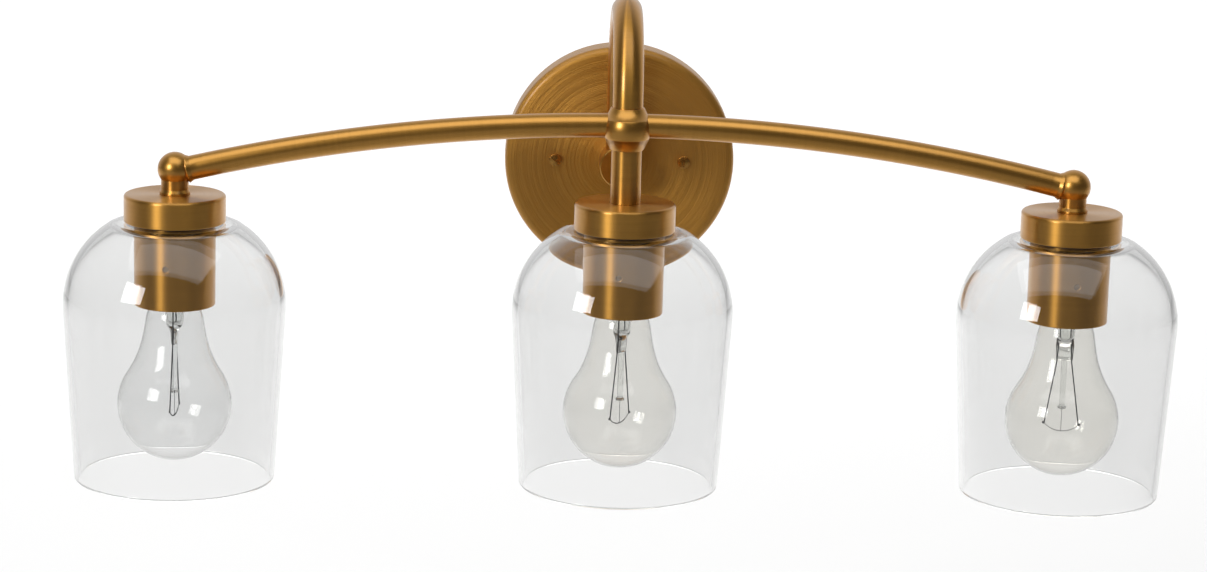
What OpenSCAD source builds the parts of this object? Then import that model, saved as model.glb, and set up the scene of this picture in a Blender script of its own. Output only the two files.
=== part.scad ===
// Three-lamp wall vanity light with a round canopy, a gooseneck arm, a curved
// cross bar and clear bell shades. Sizes are in millimetres.
// The back of the canopy lies on the wall plane y = 0. The light stands out
// towards -y, +x is to its right and +z is up. The origin is the canopy centre.

/* [Overall] */
// Distance from the middle lamp's axis to each outer lamp's axis
lamp_spacing = 234.1; // [180:0.1:290]
// Distance from the wall to the plane of the three lamp axes
projection = 118; // [95:0.5:150]
// Height of the hub's centre above the canopy's centre
hub_height = 35.4; // [20:0.1:50]

/* [Canopy] */
// Outside diameter of the canopy
canopy_diameter = 125; // [110:0.5:150]
// Depth of the canopy from the wall to its front face
canopy_depth = 20; // [16:0.5:26]
// Sheet thickness of the canopy
canopy_wall = 1.2; // [0.8:0.1:2]
// Outside radius of the canopy's front edge
canopy_edge = 4; // [2:0.5:6]
// Distance between the two canopy screws
canopy_screw_spacing = 69.85; // [60:0.05:75]
// Distance between the crossbar's two junction-box slots
box_screw_spacing = 88.9; // [82:0.1:92]
// Width of the crossbar
crossbar_width = 16; // [12:0.5:20]
// Thickness of the crossbar
crossbar_thickness = 2; // [1.5:0.1:3]

/* [Arm] */
// Outside diameter of the gooseneck and of the middle stem
arm_diameter = 16; // [13:0.5:18]
// Wall of the gooseneck and of the middle stem
arm_wall = 1; // [0.8:0.1:1.5]
// Diameter of the round boss that holds the arm on the canopy
boss_diameter = 22.6; // [21:0.1:27]
// How far the boss stands out of the canopy's face
boss_length = 20; // [19:0.5:24]
// Distance from the canopy's face to the rear leg's axis
leg_offset = 10.5; // [9.5:0.5:12]
// Height of the gooseneck's spring line above the hub's centre
spring_rise = 11.15; // [9:0.05:30]
// Diameter of the hub ball
hub_diameter = 25.4; // [23:0.1:32]

/* [Cross bar] */
// Outside diameter of the cross bar's tubes
bar_diameter = 12.7; // [10:0.1:14]
// Wall of the cross bar's tubes
bar_wall = 1; // [0.8:0.1:1.5]
// Radius of the cross bar's curve
bar_radius = 960; // [750:5:1300]
// Diameter of the balls at the ends of the cross bar
end_ball_diameter = 18; // [16.5:0.1:24]
// Height of an end ball's centre above its cap
end_ball_height = 13.1; // [11:0.1:17]

/* [Lamp cap and sleeve] */
// Diameter of a lamp cap
cap_diameter = 53; // [45:0.5:62]
// Height of a lamp cap
cap_height = 14.3; // [12:0.1:20]
// Wall of a lamp cap
cap_wall = 1.5; // [1:0.1:2.5]
// Outside diameter of a sleeve
sleeve_diameter = 42.2; // [40.5:0.1:50]
// Length of a sleeve
sleeve_length = 40.3; // [38:0.1:49]
// Wall of a sleeve's skirt
sleeve_wall = 1.5; // [1:0.1:2]
// Height of a set screw above its sleeve's lower edge
set_screw_height = 22.2; // [14:0.1:26]

/* [Shade] */
// Height of a shade
shade_height = 136.7; // [115:0.1:165]
// Largest diameter of a shade
shade_diameter = 116.06; // [100:0.01:140]
// Thickness of a shade's glass
shade_wall = 3; // [2:0.1:4]
// Radius of the arc between a shade's top and its side
shade_shoulder = 49.7; // [42:0.1:55]
// Angle by which a shade's side leans in towards its rim
shade_taper = 3.47; // [1:0.01:5]
// Thickness of the gasket above a shade
gasket_thickness = 0.8; // [0.5:0.1:2]

/* [Bulb] */
// Diameter of a bulb's round end
bulb_diameter = 60; // [50:0.5:70]
// Thickness of a bulb's glass
bulb_wall = 0.7; // [0.5:0.1:1.2]
// Distance from a cap's lower edge to a bulb's contact
contact_drop = 17.1; // [16:0.1:22]
// Length of a bulb from its contact to its tip
bulb_length = 110.1; // [100:0.1:125]
// Outside radius of a bulb's screw base
bulb_base_radius = 13.1; // [12.5:0.05:13.1]
// Turn of the left bulb's filament about its axis
left_filament_turn = 79; // [-90:1:90]
// Turn of the middle bulb's filament about its axis
centre_filament_turn = 55; // [-90:1:90]
// Turn of the right bulb's filament about its axis
right_filament_turn = -14; // [-90:1:90]

/* [Wiring] */
// Radius of an insulated wire
wire_radius = 0.75; // [0.6:0.05:0.8]

/* [Hidden] */
$fn = 96;
front_y = -canopy_depth;
leg_y = front_y - leg_offset;
lamp_y = -projection;
arch_radius = (projection + leg_y) / 2;
arch_mid_y = leg_y - arch_radius;
spring_z = hub_height + spring_rise;
arm_r = arm_diameter / 2;
arm_bore = arm_r - arm_wall;
boss_r = boss_diameter / 2;
boss_ledge_z = 5.2;
nipple_r = 5;
nipple_bore = 3.6;
hub_r = hub_diameter / 2;
hub_seat = 6.5;
bar_start = arm_diameter / 2 + 0.3;
bar_r = bar_diameter / 2;
bar_bore = bar_r - bar_wall;
bar_top_z = hub_height + 1.5;
bar_mid_z = bar_top_z - bar_radius;
bar_end_angle = asin(lamp_spacing / bar_radius);
bar_end_z = bar_mid_z + bar_radius * cos(bar_end_angle);
ball_r = end_ball_diameter / 2;
bar_stop = lamp_spacing - ball_r * 0.61;
ball_z = bar_end_z + 1.25;
cap_top_z = ball_z - end_ball_height;
seat_z = cap_top_z - cap_height;
cap_r = cap_diameter / 2;
lamp_nipple_r = 4.9;
lamp_nipple_bore = 3.4;
holder_r = sleeve_diameter / 2 - 4.5;
shell_out = bulb_base_radius + 1;
shell_in = bulb_base_radius + 0.4;
glass_top = -gasket_thickness;
glass_low = glass_top - shade_wall;
sleeve_r = sleeve_diameter / 2;
sleeve_low = glass_low - sleeve_length;
shade_hole = holder_r + 0.6;
shade_low = glass_top - shade_height;
shoulder_r = shade_diameter / 2 - shade_shoulder;
crown_r = 9.4;
crown_turn = 32.64;
crown_mid = shoulder_r + (shade_shoulder - crown_r) * sin(crown_turn);
shoulder_z = glass_top - crown_r - (shade_shoulder - crown_r) * cos(crown_turn);
bulb_r = bulb_diameter / 2;
contact_z = -contact_drop;
bulb_mid_z = contact_z - bulb_length + bulb_r;
base_top_z = contact_z - 5.2;
base_low_z = contact_z - 24.3;
neck_r = bulb_base_radius - 0.35;
press_z = contact_z - 48.2;
wire_step = 1.7;
wire_row = 0.85;
nut_x = 20;
nut_z = -30;

// A cylinder that starts at y = from and runs back towards the wall
module back_rod(from, len, r) {
  translate([0, from, 0])
    rotate([-90, 0, 0])
      cylinder(h = len, r = r);
}

// Moves its children to a lamp, with z = 0 on the lower edge of the lamp's cap
module at_lamp(x) {
  translate([x, lamp_y, seat_z])
    children();
}

// Canopy: a shallow pan pressed from sheet, open towards the wall
module canopy_section(inset) {
  edge = canopy_edge - inset;
  r = canopy_diameter / 2 - inset;
  d = canopy_depth - inset;
  translate([0, -1])
    square([r, d - edge + 1]);
  square([r - edge, d]);
  translate([r - edge, d - edge])
    circle(edge);
}

module canopy() {
  color([0.72, 0.53, 0.25])
    difference() {
      rotate([90, 0, 0])
        rotate_extrude()
          intersection() {
            difference() {
              canopy_section(0);
              canopy_section(canopy_wall);
            }
            square([canopy_diameter, canopy_depth + 1]);
          }
      back_rod(front_y - 1, canopy_wall + 2, nipple_r + 0.4);
      for (side = [-1, 1])
        translate([side * canopy_screw_spacing / 2, 0, 0])
          back_rod(front_y - 1, canopy_wall + 2, 2.4);
    }
}

// Crossbar: the strip that the junction box holds and the canopy screws pull on
module crossbar() {
  color([0.7, 0.71, 0.73])
    difference() {
      union() {
        translate([-box_screw_spacing / 2 - 7, -crossbar_thickness, -crossbar_width / 2])
          cube([box_screw_spacing + 14, crossbar_thickness, crossbar_width]);
        for (side = [-1, 1])
          translate([side * canopy_screw_spacing / 2, 0, 0])
            back_rod(-crossbar_thickness - 1.8, 1.9, 3.2);
      }
      for (side = [-1, 1])
        translate([side * canopy_screw_spacing / 2, 0, 0])
          back_rod(-crossbar_thickness - 3, crossbar_thickness + 4, 2.05);
      for (side = [-1, 1])
        translate([side * box_screw_spacing / 2, 0, 0]) {
          translate([-2.1, 0, 0])
            back_rod(-crossbar_thickness - 1, crossbar_thickness + 2, 2.4);
          translate([2.1, 0, 0])
            back_rod(-crossbar_thickness - 1, crossbar_thickness + 2, 2.4);
          translate([-2.1, -crossbar_thickness - 1, -2.4])
            cube([4.2, crossbar_thickness + 2, 4.8]);
        }
      back_rod(-crossbar_thickness - 1, crossbar_thickness + 2, 5.5);
      translate([18, 0, 0])
        back_rod(-crossbar_thickness - 1, crossbar_thickness + 2, 1.75);
    }
}

// Canopy screws: slotted round heads outside the canopy, tips in the crossbar
module canopy_screw(slot_turn) {
  difference() {
    union() {
      back_rod(front_y - 2.4, 2.4, 3.4);
      back_rod(front_y, canopy_depth - 0.2, 2.05);
    }
    translate([0, front_y - 2.4, 0])
      rotate([0, slot_turn, 0])
        cube([8, 2.2, 1.1], center = true);
  }
}

module canopy_screws() {
  color([0.72, 0.53, 0.25]) {
    translate([-canopy_screw_spacing / 2, 0, 0])
      canopy_screw(28);
    translate([canopy_screw_spacing / 2, 0, 0])
      canopy_screw(-85);
  }
}

// Ground screw: holds the ground wire's loop on the crossbar
module ground_screw() {
  color([0.25, 0.5, 0.3])
    translate([18, 0, 0])
      difference() {
        union() {
          back_rod(-crossbar_thickness - 3.9, 2.2, 3.4);
          back_rod(-crossbar_thickness - 1.8, crossbar_thickness + 1.6, 1.75);
        }
        translate([0, -crossbar_thickness - 3.9, 0])
          cube([8, 2, 1], center = true);
      }
}

// Arm boss: a round block on the canopy that takes the gooseneck from above
module arm_boss() {
  color([0.72, 0.53, 0.25])
    difference() {
      union() {
        back_rod(front_y - boss_length + 0.6, boss_length - 0.6, boss_r);
        back_rod(front_y - boss_length, boss_length, boss_r - 0.6);
      }
      translate([0, leg_y, boss_ledge_z])
        cylinder(h = boss_r + 2, r = arm_r);
      translate([0, leg_y, -3.6])
        cylinder(h = boss_ledge_z + 4, r = arm_bore - 1);
      back_rod(leg_y + 2, 30, nipple_r);
    }
}

// Arm nipple: the threaded tube that pulls the boss against the canopy
module arm_nipple() {
  color([0.75, 0.58, 0.3])
    difference() {
      back_rod(leg_y + 5, leg_offset + 3.3, nipple_r);
      back_rod(leg_y, 30, nipple_bore);
    }
}

module arm_lock_washer() {
  color([0.7, 0.71, 0.73])
    difference() {
      back_rod(front_y + canopy_wall, 1.2, 8);
      back_rod(front_y, 6, nipple_r);
      translate([0, front_y + canopy_wall - 1, 0])
        cube([12, 4, 1.2]);
    }
}

module arm_hex_nut() {
  color([0.75, 0.58, 0.3])
    difference() {
      translate([0, front_y + canopy_wall + 1.2, 0])
        rotate([-90, 0, 0])
          cylinder(h = 3, r = 8.1, $fn = 6);
      back_rod(front_y, 10, nipple_r);
    }
}

// Gooseneck: rear leg, half-round arch and front leg, bent from one tube
module gooseneck_tube() {
  color([0.72, 0.53, 0.25]) {
    translate([0, leg_y, boss_ledge_z])
      difference() {
        cylinder(h = spring_z - boss_ledge_z, r = arm_r);
        translate([0, 0, -1])
          cylinder(h = spring_z - boss_ledge_z + 2, r = arm_bore);
      }
    translate([0, lamp_y, hub_height + hub_seat])
      difference() {
        cylinder(h = spring_rise - hub_seat, r = arm_r);
        translate([0, 0, -1])
          cylinder(h = spring_rise - hub_seat + 2, r = arm_bore);
      }
    translate([0, arch_mid_y, spring_z])
      rotate([90, 0, 90])
        rotate_extrude(angle = 180)
          translate([arch_radius, 0])
            difference() {
              circle(arm_r);
              circle(arm_bore);
            }
  }
}

// Hub: a ball with sockets for the gooseneck, the stem and both bars
module hub_ball() {
  color([0.72, 0.53, 0.25])
    translate([0, lamp_y, hub_height])
      difference() {
        union() {
          sphere(hub_r);
          translate([0, 0, hub_r * 0.41])
            cylinder(h = hub_r * 0.46, r1 = hub_r * 0.912, r2 = arm_r + 0.7);
          translate([0, 0, -hub_r * 0.87])
            cylinder(h = hub_r * 0.46, r1 = arm_r + 0.7, r2 = hub_r * 0.912);
        }
        translate([0, 0, hub_seat])
          cylinder(h = hub_r, r = arm_r);
        translate([0, 0, -hub_seat - hub_r])
          cylinder(h = hub_r, r = arm_r);
        translate([0, 0, -hub_seat - 1])
          cylinder(h = 2 * hub_seat + 2, r = arm_bore - 1);
        for (side = [0, 1])
          mirror([side, 0, 0]) {
            bar_core(bar_start, hub_r + 20, bar_r);
            bar_core(4, bar_start + 1, bar_bore);
          }
      }
}

// A solid stretch of the cross bar's curve between two distances from the middle
module bar_core(from, to, r) {
  a = asin(from / bar_radius);
  b = asin(to / bar_radius);
  translate([0, 0, bar_mid_z - hub_height])
    rotate([90, 0, 0])
      rotate_extrude(angle = b - a, start = 90 - b)
        translate([bar_radius, 0])
          circle(r);
}

// Stem: the straight tube from the hub down to the middle cap, tapped below
module stem_tube() {
  low = cap_top_z;
  high = hub_height - hub_seat;
  color([0.72, 0.53, 0.25])
    translate([0, lamp_y, 0])
      difference() {
        translate([0, 0, low])
          cylinder(h = high - low, r = arm_r);
        translate([0, 0, low + 10])
          cylinder(h = high - low, r = arm_bore);
        translate([0, 0, low - 1])
          cylinder(h = 20, r = lamp_nipple_r);
      }
}

// Cross bar: two gently curved tubes between the hub and the end balls
module bar_tube() {
  translate([0, lamp_y, hub_height])
    difference() {
      bar_core(bar_start, bar_stop, bar_r);
      bar_core(bar_start - 1, bar_stop + 1, bar_bore);
    }
}

module bar_left() {
  color([0.72, 0.53, 0.25])
    mirror([1, 0, 0])
      bar_tube();
}

module bar_right() {
  color([0.72, 0.53, 0.25])
    bar_tube();
}

// End ball: holds the bar's end, and the outer lamp's nipple from below
module end_ball() {
  difference() {
    translate([lamp_spacing, lamp_y, ball_z])
      sphere(ball_r);
    translate([0, lamp_y, hub_height])
      bar_core(lamp_spacing - 20, bar_stop, bar_r);
    translate([0, lamp_y, hub_height])
      bar_core(lamp_spacing - 20, lamp_spacing + 2.5, bar_bore - 1);
    translate([lamp_spacing, lamp_y, ball_z - ball_r - 1])
      cylinder(h = ball_r + 1, r = lamp_nipple_r);
  }
}

module end_ball_left() {
  color([0.72, 0.53, 0.25])
    mirror([1, 0, 0])
      end_ball();
}

module end_ball_right() {
  color([0.72, 0.53, 0.25])
    end_ball();
}

// Neck collars: short flared rings between the end balls and their caps
module neck_collar() {
  h = end_ball_height - ball_r * 0.69;
  difference() {
    union() {
      cylinder(h = h, r = ball_r * 0.8);
      cylinder(h = 1.2, r = ball_r * 0.89);
      translate([0, 0, 1.2])
        cylinder(h = 1.6, r1 = ball_r * 0.89, r2 = ball_r * 0.8);
    }
    translate([0, 0, -1])
      cylinder(h = h + 2, r = lamp_nipple_r);
    translate([0, 0, end_ball_height])
      sphere(ball_r);
  }
}

module neck_collars() {
  color([0.72, 0.53, 0.25])
    for (side = [-1, 1])
      translate([side * lamp_spacing, lamp_y, cap_top_z])
        neck_collar();
}

// Lamp nipples: threaded tubes that hang each lamp and carry its wires
module lamp_nipples() {
  color([0.75, 0.58, 0.3]) {
    for (side = [-1, 1])
      at_lamp(side * lamp_spacing)
        lamp_nipple(cap_height + end_ball_height - 4);
    at_lamp(0)
      lamp_nipple(cap_height + 9.5);
  }
}

module lamp_nipple(top) {
  difference() {
    translate([0, 0, 1.2])
      cylinder(h = top - 1.2, r = lamp_nipple_r);
    cylinder(h = top + 1, r = lamp_nipple_bore);
  }
}

// Cap nuts: clamp each cap against its ball collar or stem
module cap_nuts() {
  color([0.75, 0.58, 0.3])
    for (side = [-1, 0, 1])
      at_lamp(side * lamp_spacing)
        translate([0, 0, cap_height - cap_wall - 2.5])
          difference() {
            cylinder(h = 2.5, r = 8, $fn = 6);
            translate([0, 0, -1])
              cylinder(h = 5, r = lamp_nipple_r);
          }
}

// Cap: a turned cup with small edge radii, open below
module lamp_cap(x) {
  color([0.72, 0.53, 0.25])
    at_lamp(x)
      difference() {
        rotate_extrude() {
          square([cap_r - 2, cap_height]);
          translate([0, 1])
            square([cap_r, cap_height - 3]);
          translate([cap_r - 2, cap_height - 2])
            circle(2);
          intersection() {
            translate([cap_r - 1, 1])
              circle(1);
            square([cap_r, 2]);
          }
          square([cap_r - 1, 2]);
        }
        translate([0, 0, -1])
          cylinder(h = cap_height - cap_wall + 1, r = cap_r - cap_wall);
        cylinder(h = cap_height + 1, r = lamp_nipple_r);
      }
}

module cap_left() {
  lamp_cap(-lamp_spacing);
}

module cap_centre() {
  lamp_cap(0);
}

module cap_right() {
  lamp_cap(lamp_spacing);
}

// Lampholder: moulded body with a flange in the cap and a threaded outside
module lampholder(x) {
  color([0.12, 0.11, 0.1])
    at_lamp(x)
      difference() {
        union() {
          translate([0, 0, -38.8])
            cylinder(h = 40, r = holder_r);
          cylinder(h = 3, r = cap_r - cap_wall);
          cylinder(h = 9.3, r = 8);
        }
        cylinder(h = 20, r = lamp_nipple_r);
        translate([0, 0, -8.7])
          cylinder(h = 9.5, r = 12.6);
        translate([0, 0, -40])
          cylinder(h = 27.3, r = shell_out);
        translate([0, 0, -20])
          cylinder(h = 15, r = 1.5);
        translate([0, 9.2, -20])
          cylinder(h = 15, r = 1.2);
      }
}

module lampholder_left() {
  lampholder(-lamp_spacing);
}

module lampholder_centre() {
  lampholder(0);
}

module lampholder_right() {
  lampholder(lamp_spacing);
}

// Screw shells: the sockets' live threads, riveted through the lampholders
module screw_shells() {
  color([0.78, 0.62, 0.33])
    for (side = [-1, 0, 1])
      at_lamp(side * lamp_spacing) {
        difference() {
          translate([0, 0, -36.8])
            cylinder(h = 24.1, r = shell_out);
          translate([0, 0, -38])
            cylinder(h = 24.7, r = shell_in);
          translate([0, 0, -20])
            cylinder(h = 12, r = 6.5);
        }
        translate([0, 9.2, -12.8])
          cylinder(h = 5, r = 1.2);
        translate([0, 9.2, -8.7])
          cylinder(h = 1, r = 2);
      }
}

// Contact tabs: spring strips riveted above each bulb's contact
module contact_tabs() {
  low = contact_z + 0.1;
  color([0.78, 0.62, 0.33])
    for (side = [-1, 0, 1])
      at_lamp(side * lamp_spacing) {
        translate([0, 0, -12.8])
          cylinder(h = 5, r = 1.5);
        translate([0, 0, -8.7])
          cylinder(h = 1, r = 2.4);
        translate([0, 2, 0])
          rotate([90, 0, 0])
            linear_extrude(4)
              polygon([[-3, -12.7], [3.6, -12.7], [4.4, -13.9], [1.2, low + 0.3], [0, low],
                [-1.6, low], [-1.6, low + 0.5], [0.8, low + 0.7], [3.7, -13.9],
                [3.2, -13.3], [-3, -13.3]]);
      }
}

// Gaskets: soft rings between each cap and its glass
module gaskets() {
  color([0.16, 0.16, 0.16])
    for (side = [-1, 0, 1])
      at_lamp(side * lamp_spacing)
        translate([0, 0, -gasket_thickness])
          difference() {
            cylinder(h = gasket_thickness, r = cap_r - 2);
            translate([0, 0, -1])
              cylinder(h = gasket_thickness + 2, r = holder_r);
          }
}

// Shade: clear bell, clamped by its flat top between gasket and sleeve
function crown_at(turn, inset) = [crown_mid + (crown_r - inset) * sin(turn),
  glass_top - crown_r + (crown_r - inset) * cos(turn)];

module shade(x) {
  t = shade_taper;
  mid = shade_wall / 2;
  out = shade_shoulder;
  in = shade_shoulder - shade_wall;
  run = (shoulder_z - out * sin(t) - shade_low - mid) / cos(t);
  rim_r = shoulder_r + (out - mid) * cos(t) - run * sin(t);
  rim_z = shoulder_z - (out - mid) * sin(t) - run * cos(t);
  color([0.92, 0.94, 0.95, 0.25])
    at_lamp(x) {
      rotate_extrude()
        polygon([[shade_hole, glass_top], crown_at(0, 0), crown_at(crown_turn / 2, 0),
          crown_at(crown_turn, 0), crown_at(crown_turn, shade_wall),
          crown_at(crown_turn / 2, shade_wall), crown_at(0, shade_wall),
          [shade_hole, glass_low]]);
      rotate_extrude()
        translate([shoulder_r, shoulder_z])
          intersection() {
            difference() {
              circle(out);
              circle(in);
            }
            polygon([[0, 0], [90 * sin(crown_turn), 90 * cos(crown_turn)],
              [90, -out * sin(t)], [0, -out * sin(t)]]);
          }
      rotate_extrude()
        translate([shoulder_r, shoulder_z])
          polygon([[out * cos(t), -out * sin(t)],
            [out * cos(t) - run * sin(t), -out * sin(t) - run * cos(t)],
            [in * cos(t) - run * sin(t), -in * sin(t) - run * cos(t)],
            [sqrt(in * in - pow(out * sin(t), 2)), -out * sin(t)]]);
      rotate_extrude()
        translate([rim_r, rim_z])
          rotate(-t)
            intersection() {
              circle(mid);
              translate([-shade_wall, -2 * shade_wall])
                square(2 * shade_wall);
            }
    }
}

module shade_left() {
  shade(-lamp_spacing);
}

module shade_centre() {
  shade(0);
}

module shade_right() {
  shade(lamp_spacing);
}

// Sleeve: a threaded ring with a long skirt that clamps the shade
module sleeve(x, turn) {
  color([0.72, 0.53, 0.25])
    at_lamp(x)
      difference() {
        translate([0, 0, sleeve_low])
          cylinder(h = sleeve_length, r = sleeve_r);
        translate([0, 0, sleeve_low - 1])
          cylinder(h = sleeve_length + 2, r = holder_r + 0.35);
        translate([0, 0, sleeve_low - 1])
          cylinder(h = sleeve_length - 8, r = sleeve_r - sleeve_wall);
        rotate([0, 0, turn])
          translate([0, 0, sleeve_low + set_screw_height]) {
            back_rod(-sleeve_r - 1, 6, 1.3);
            back_rod(-sleeve_r - 1, 1.5, 1.6);
          }
      }
}

module sleeve_left() {
  sleeve(-lamp_spacing, -8);
}

module sleeve_centre() {
  sleeve(0, -8);
}

module sleeve_right() {
  sleeve(lamp_spacing, 4);
}

// Set screw: a small grub screw through the sleeve's skirt
module set_screw(x, turn) {
  color([0.6, 0.45, 0.22])
    at_lamp(x)
      rotate([0, 0, turn])
        translate([0, 0, sleeve_low + set_screw_height])
          difference() {
            back_rod(-sleeve_r + 0.4, 3.6, 1.3);
            translate([0, -sleeve_r - 0.2, 0])
              rotate([-90, 0, 0])
                cylinder(h = 1.8, r = 0.75, $fn = 6);
          }
}

module set_screw_left() {
  set_screw(-lamp_spacing, -8);
}

module set_screw_centre() {
  set_screw(0, -8);
}

module set_screw_right() {
  set_screw(lamp_spacing, 4);
}

// Bulb contact: the round button on the end of the bulb's base
module bulb_contact(x) {
  color([0.75, 0.7, 0.62])
    at_lamp(x)
      translate([0, 0, contact_z])
        rotate_extrude()
          polygon([[0, 0], [2.6, 0], [4.2, -0.7], [4.6, -1.2], [4.6, -1.8], [0, -1.8]]);
}

module bulb_contact_left() {
  bulb_contact(-lamp_spacing);
}

module bulb_contact_centre() {
  bulb_contact(0);
}

module bulb_contact_right() {
  bulb_contact(lamp_spacing);
}

// Bulb insulator: the dark glass cone between contact and screw base
module bulb_insulator(x) {
  color([0.08, 0.08, 0.09])
    at_lamp(x)
      translate([0, 0, base_top_z])
        cylinder(h = 3.4, r1 = 10.2, r2 = 5.4);
}

module bulb_insulator_left() {
  bulb_insulator(-lamp_spacing);
}

module bulb_insulator_centre() {
  bulb_insulator(0);
}

module bulb_insulator_right() {
  bulb_insulator(lamp_spacing);
}

// Bulb base: the thin metal cup that screws into the lampholder
module bulb_base(x) {
  wall = 0.35;
  h = base_top_z - base_low_z;
  color([0.8, 0.8, 0.78])
    at_lamp(x)
      translate([0, 0, base_low_z])
        rotate_extrude()
          polygon([[bulb_base_radius - wall, 0], [bulb_base_radius, 0],
            [bulb_base_radius, h - 2.4], [10.6, h], [0, h], [0, h - wall],
            [10.4, h - wall], [bulb_base_radius - wall, h - 2.6]]);
}

module bulb_base_left() {
  bulb_base(-lamp_spacing);
}

module bulb_base_centre() {
  bulb_base(0);
}

module bulb_base_right() {
  bulb_base(lamp_spacing);
}

// Bulb glass: a round end, a straight cone and a hollow curve into the neck
module bulb_section(inset) {
  r = bulb_r - inset;
  n = neck_r - inset;
  hollow = 15 + inset;
  turn = 20;
  touch_z = bulb_mid_z + r * sin(turn);
  corner_z = touch_z + (r * cos(turn) - n) / tan(turn);
  reach = hollow * tan(turn / 2);
  translate([0, bulb_mid_z])
    circle(r);
  difference() {
    polygon([[0, bulb_mid_z], [r * cos(turn), touch_z],
      [n + reach * sin(turn), corner_z - reach * cos(turn)],
      [n, corner_z + reach], [n, base_low_z + 9], [0, base_low_z + 9]]);
    translate([n + hollow, corner_z + reach])
      circle(hollow);
  }
}

module bulb_glass(x) {
  color([0.95, 0.94, 0.9, 0.25])
    at_lamp(x)
      rotate_extrude()
        intersection() {
          difference() {
            bulb_section(0);
            bulb_section(bulb_wall);
          }
          translate([0, bulb_mid_z - bulb_r - 1])
            square([bulb_r + 1, base_low_z + 8 - bulb_mid_z + bulb_r + 1]);
        }
}

module bulb_glass_left() {
  bulb_glass(-lamp_spacing);
}

module bulb_glass_centre() {
  bulb_glass(0);
}

module bulb_glass_right() {
  bulb_glass(lamp_spacing);
}

// Bulb stem: the glass flare, its tube, the pinched seal and a rod with a button
module bulb_stem(x, turn) {
  top = base_low_z + 6;
  inside = neck_r - bulb_wall;
  color([0.93, 0.93, 0.9, 0.3])
    at_lamp(x)
      rotate([0, 0, turn]) {
        rotate_extrude()
          polygon([[inside, top], [inside, top - 1.2], [5.4, top - 8], [4.6, press_z + 9],
            [3.8, press_z + 9], [4.4, top - 7.4], [inside - 1, top]]);
        translate([-4.5, -1.5, press_z])
          cube([9, 3, 9.8]);
        translate([0, 0, press_z - 25])
          cylinder(h = 25.2, r = 1.5);
        translate([0, 0, press_z - 26.2])
          cylinder(h = 1.6, r = 2.3);
      }
}

module bulb_stem_left() {
  bulb_stem(-lamp_spacing, left_filament_turn);
}

module bulb_stem_centre() {
  bulb_stem(0, centre_filament_turn);
}

module bulb_stem_right() {
  bulb_stem(lamp_spacing, right_filament_turn);
}

// A straight round wire between two points, with a bead where the next one joins
module wire(from, to, r) {
  d = to - from;
  len = norm(d);
  flat = norm([d[0], d[1]]);
  translate(from) {
    rotate([0, atan2(flat, d[2]), atan2(d[1], d[0])])
      cylinder(h = len, r = r);
    sphere(r * 1.12);
  }
}

// Bulb filament: two leads, a support wire and the hanging filament
module bulb_filament(x, turn) {
  span = 9;
  low = press_z - 34.5;
  color([0.3, 0.3, 0.31])
    at_lamp(x)
      rotate([0, 0, turn]) {
        for (side = [-1, 1]) {
          wire([side * 2.9, 0, base_low_z + 4], [side * 2.9, 0, press_z + 9.5], 0.35);
          wire([side * 2.9, 0, press_z + 9.5], [side * 3.9, 0, press_z - 1], 0.35);
          wire([side * 3.9, 0, press_z - 1], [side * span, 0, low], 0.35);
        }
        wire([2.9, 0, base_low_z + 4], [0.8, 0, base_top_z - 1], 0.35);
        wire([-2.9, 0, base_low_z + 4], [-neck_r + 0.45, 0, base_low_z + 10.5], 0.35);
        wire([0, 0, press_z - 26], [0, 0, low - 3.8], 0.2);
        wire([-span, 0, low], [-span / 2, 0, low - 3], 0.3);
        wire([-span / 2, 0, low - 3], [0, 0, low - 4], 0.3);
        wire([0, 0, low - 4], [span / 2, 0, low - 3], 0.3);
        wire([span / 2, 0, low - 3], [span, 0, low], 0.3);
      }
}

module bulb_filament_left() {
  bulb_filament(-lamp_spacing, left_filament_turn);
}

module bulb_filament_centre() {
  bulb_filament(0, centre_filament_turn);
}

module bulb_filament_right() {
  bulb_filament(lamp_spacing, right_filament_turn);
}

// One lamp's conductor from its wire nut, through the arm, to the top of its lampholder
module conductor(lamp, row) {
  u = lamp * wire_step;
  v = row * wire_row;
  r = wire_radius;
  back_y = front_y + 10.5 + row;
  end_x = -row * nut_x + lamp * 1.6;
  bar_in = bar_mid_z + bar_radius * cos(asin(wire_step / bar_radius));
  wire([end_x, back_y, nut_z - 1], [end_x, back_y, nut_z + 7], r);
  wire([end_x, back_y, nut_z + 7], [u, back_y, v], r);
  wire([u, back_y, v], [u, leg_y + v, v], r);
  wire([u, leg_y + v, v], [u, leg_y + v, spring_z], r);
  translate([u, arch_mid_y, spring_z])
    rotate([90, 0, 90])
      rotate_extrude(angle = 180)
        translate([arch_radius + v, 0])
          circle(r);
  if (lamp == 0)
    wire([u, lamp_y - v, spring_z], [u, lamp_y - v, seat_z - 4], r);
  if (lamp != 0) {
    wire([u, lamp_y - v, spring_z], [u, lamp_y - v, bar_in], r);
    translate([0, lamp_y - v, hub_height])
      mirror([lamp < 0 ? 1 : 0, 0, 0])
        bar_core(wire_step, lamp_spacing, r);
    translate([u, lamp_y - v, bar_in])
      sphere(r * 1.12);
    wire([lamp * lamp_spacing, lamp_y - v, bar_end_z],
      [lamp * lamp_spacing, lamp_y - v, seat_z - 4], r);
  }
}

// Live wires: black, one to each lamp's contact tab
module wires_live() {
  color([0.05, 0.05, 0.05])
    for (lamp = [-1, 0, 1]) {
      conductor(lamp, 1);
      at_lamp(lamp * lamp_spacing)
        wire([0, -wire_row, -4], [0, -wire_row, -7.7], wire_radius);
    }
}

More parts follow.
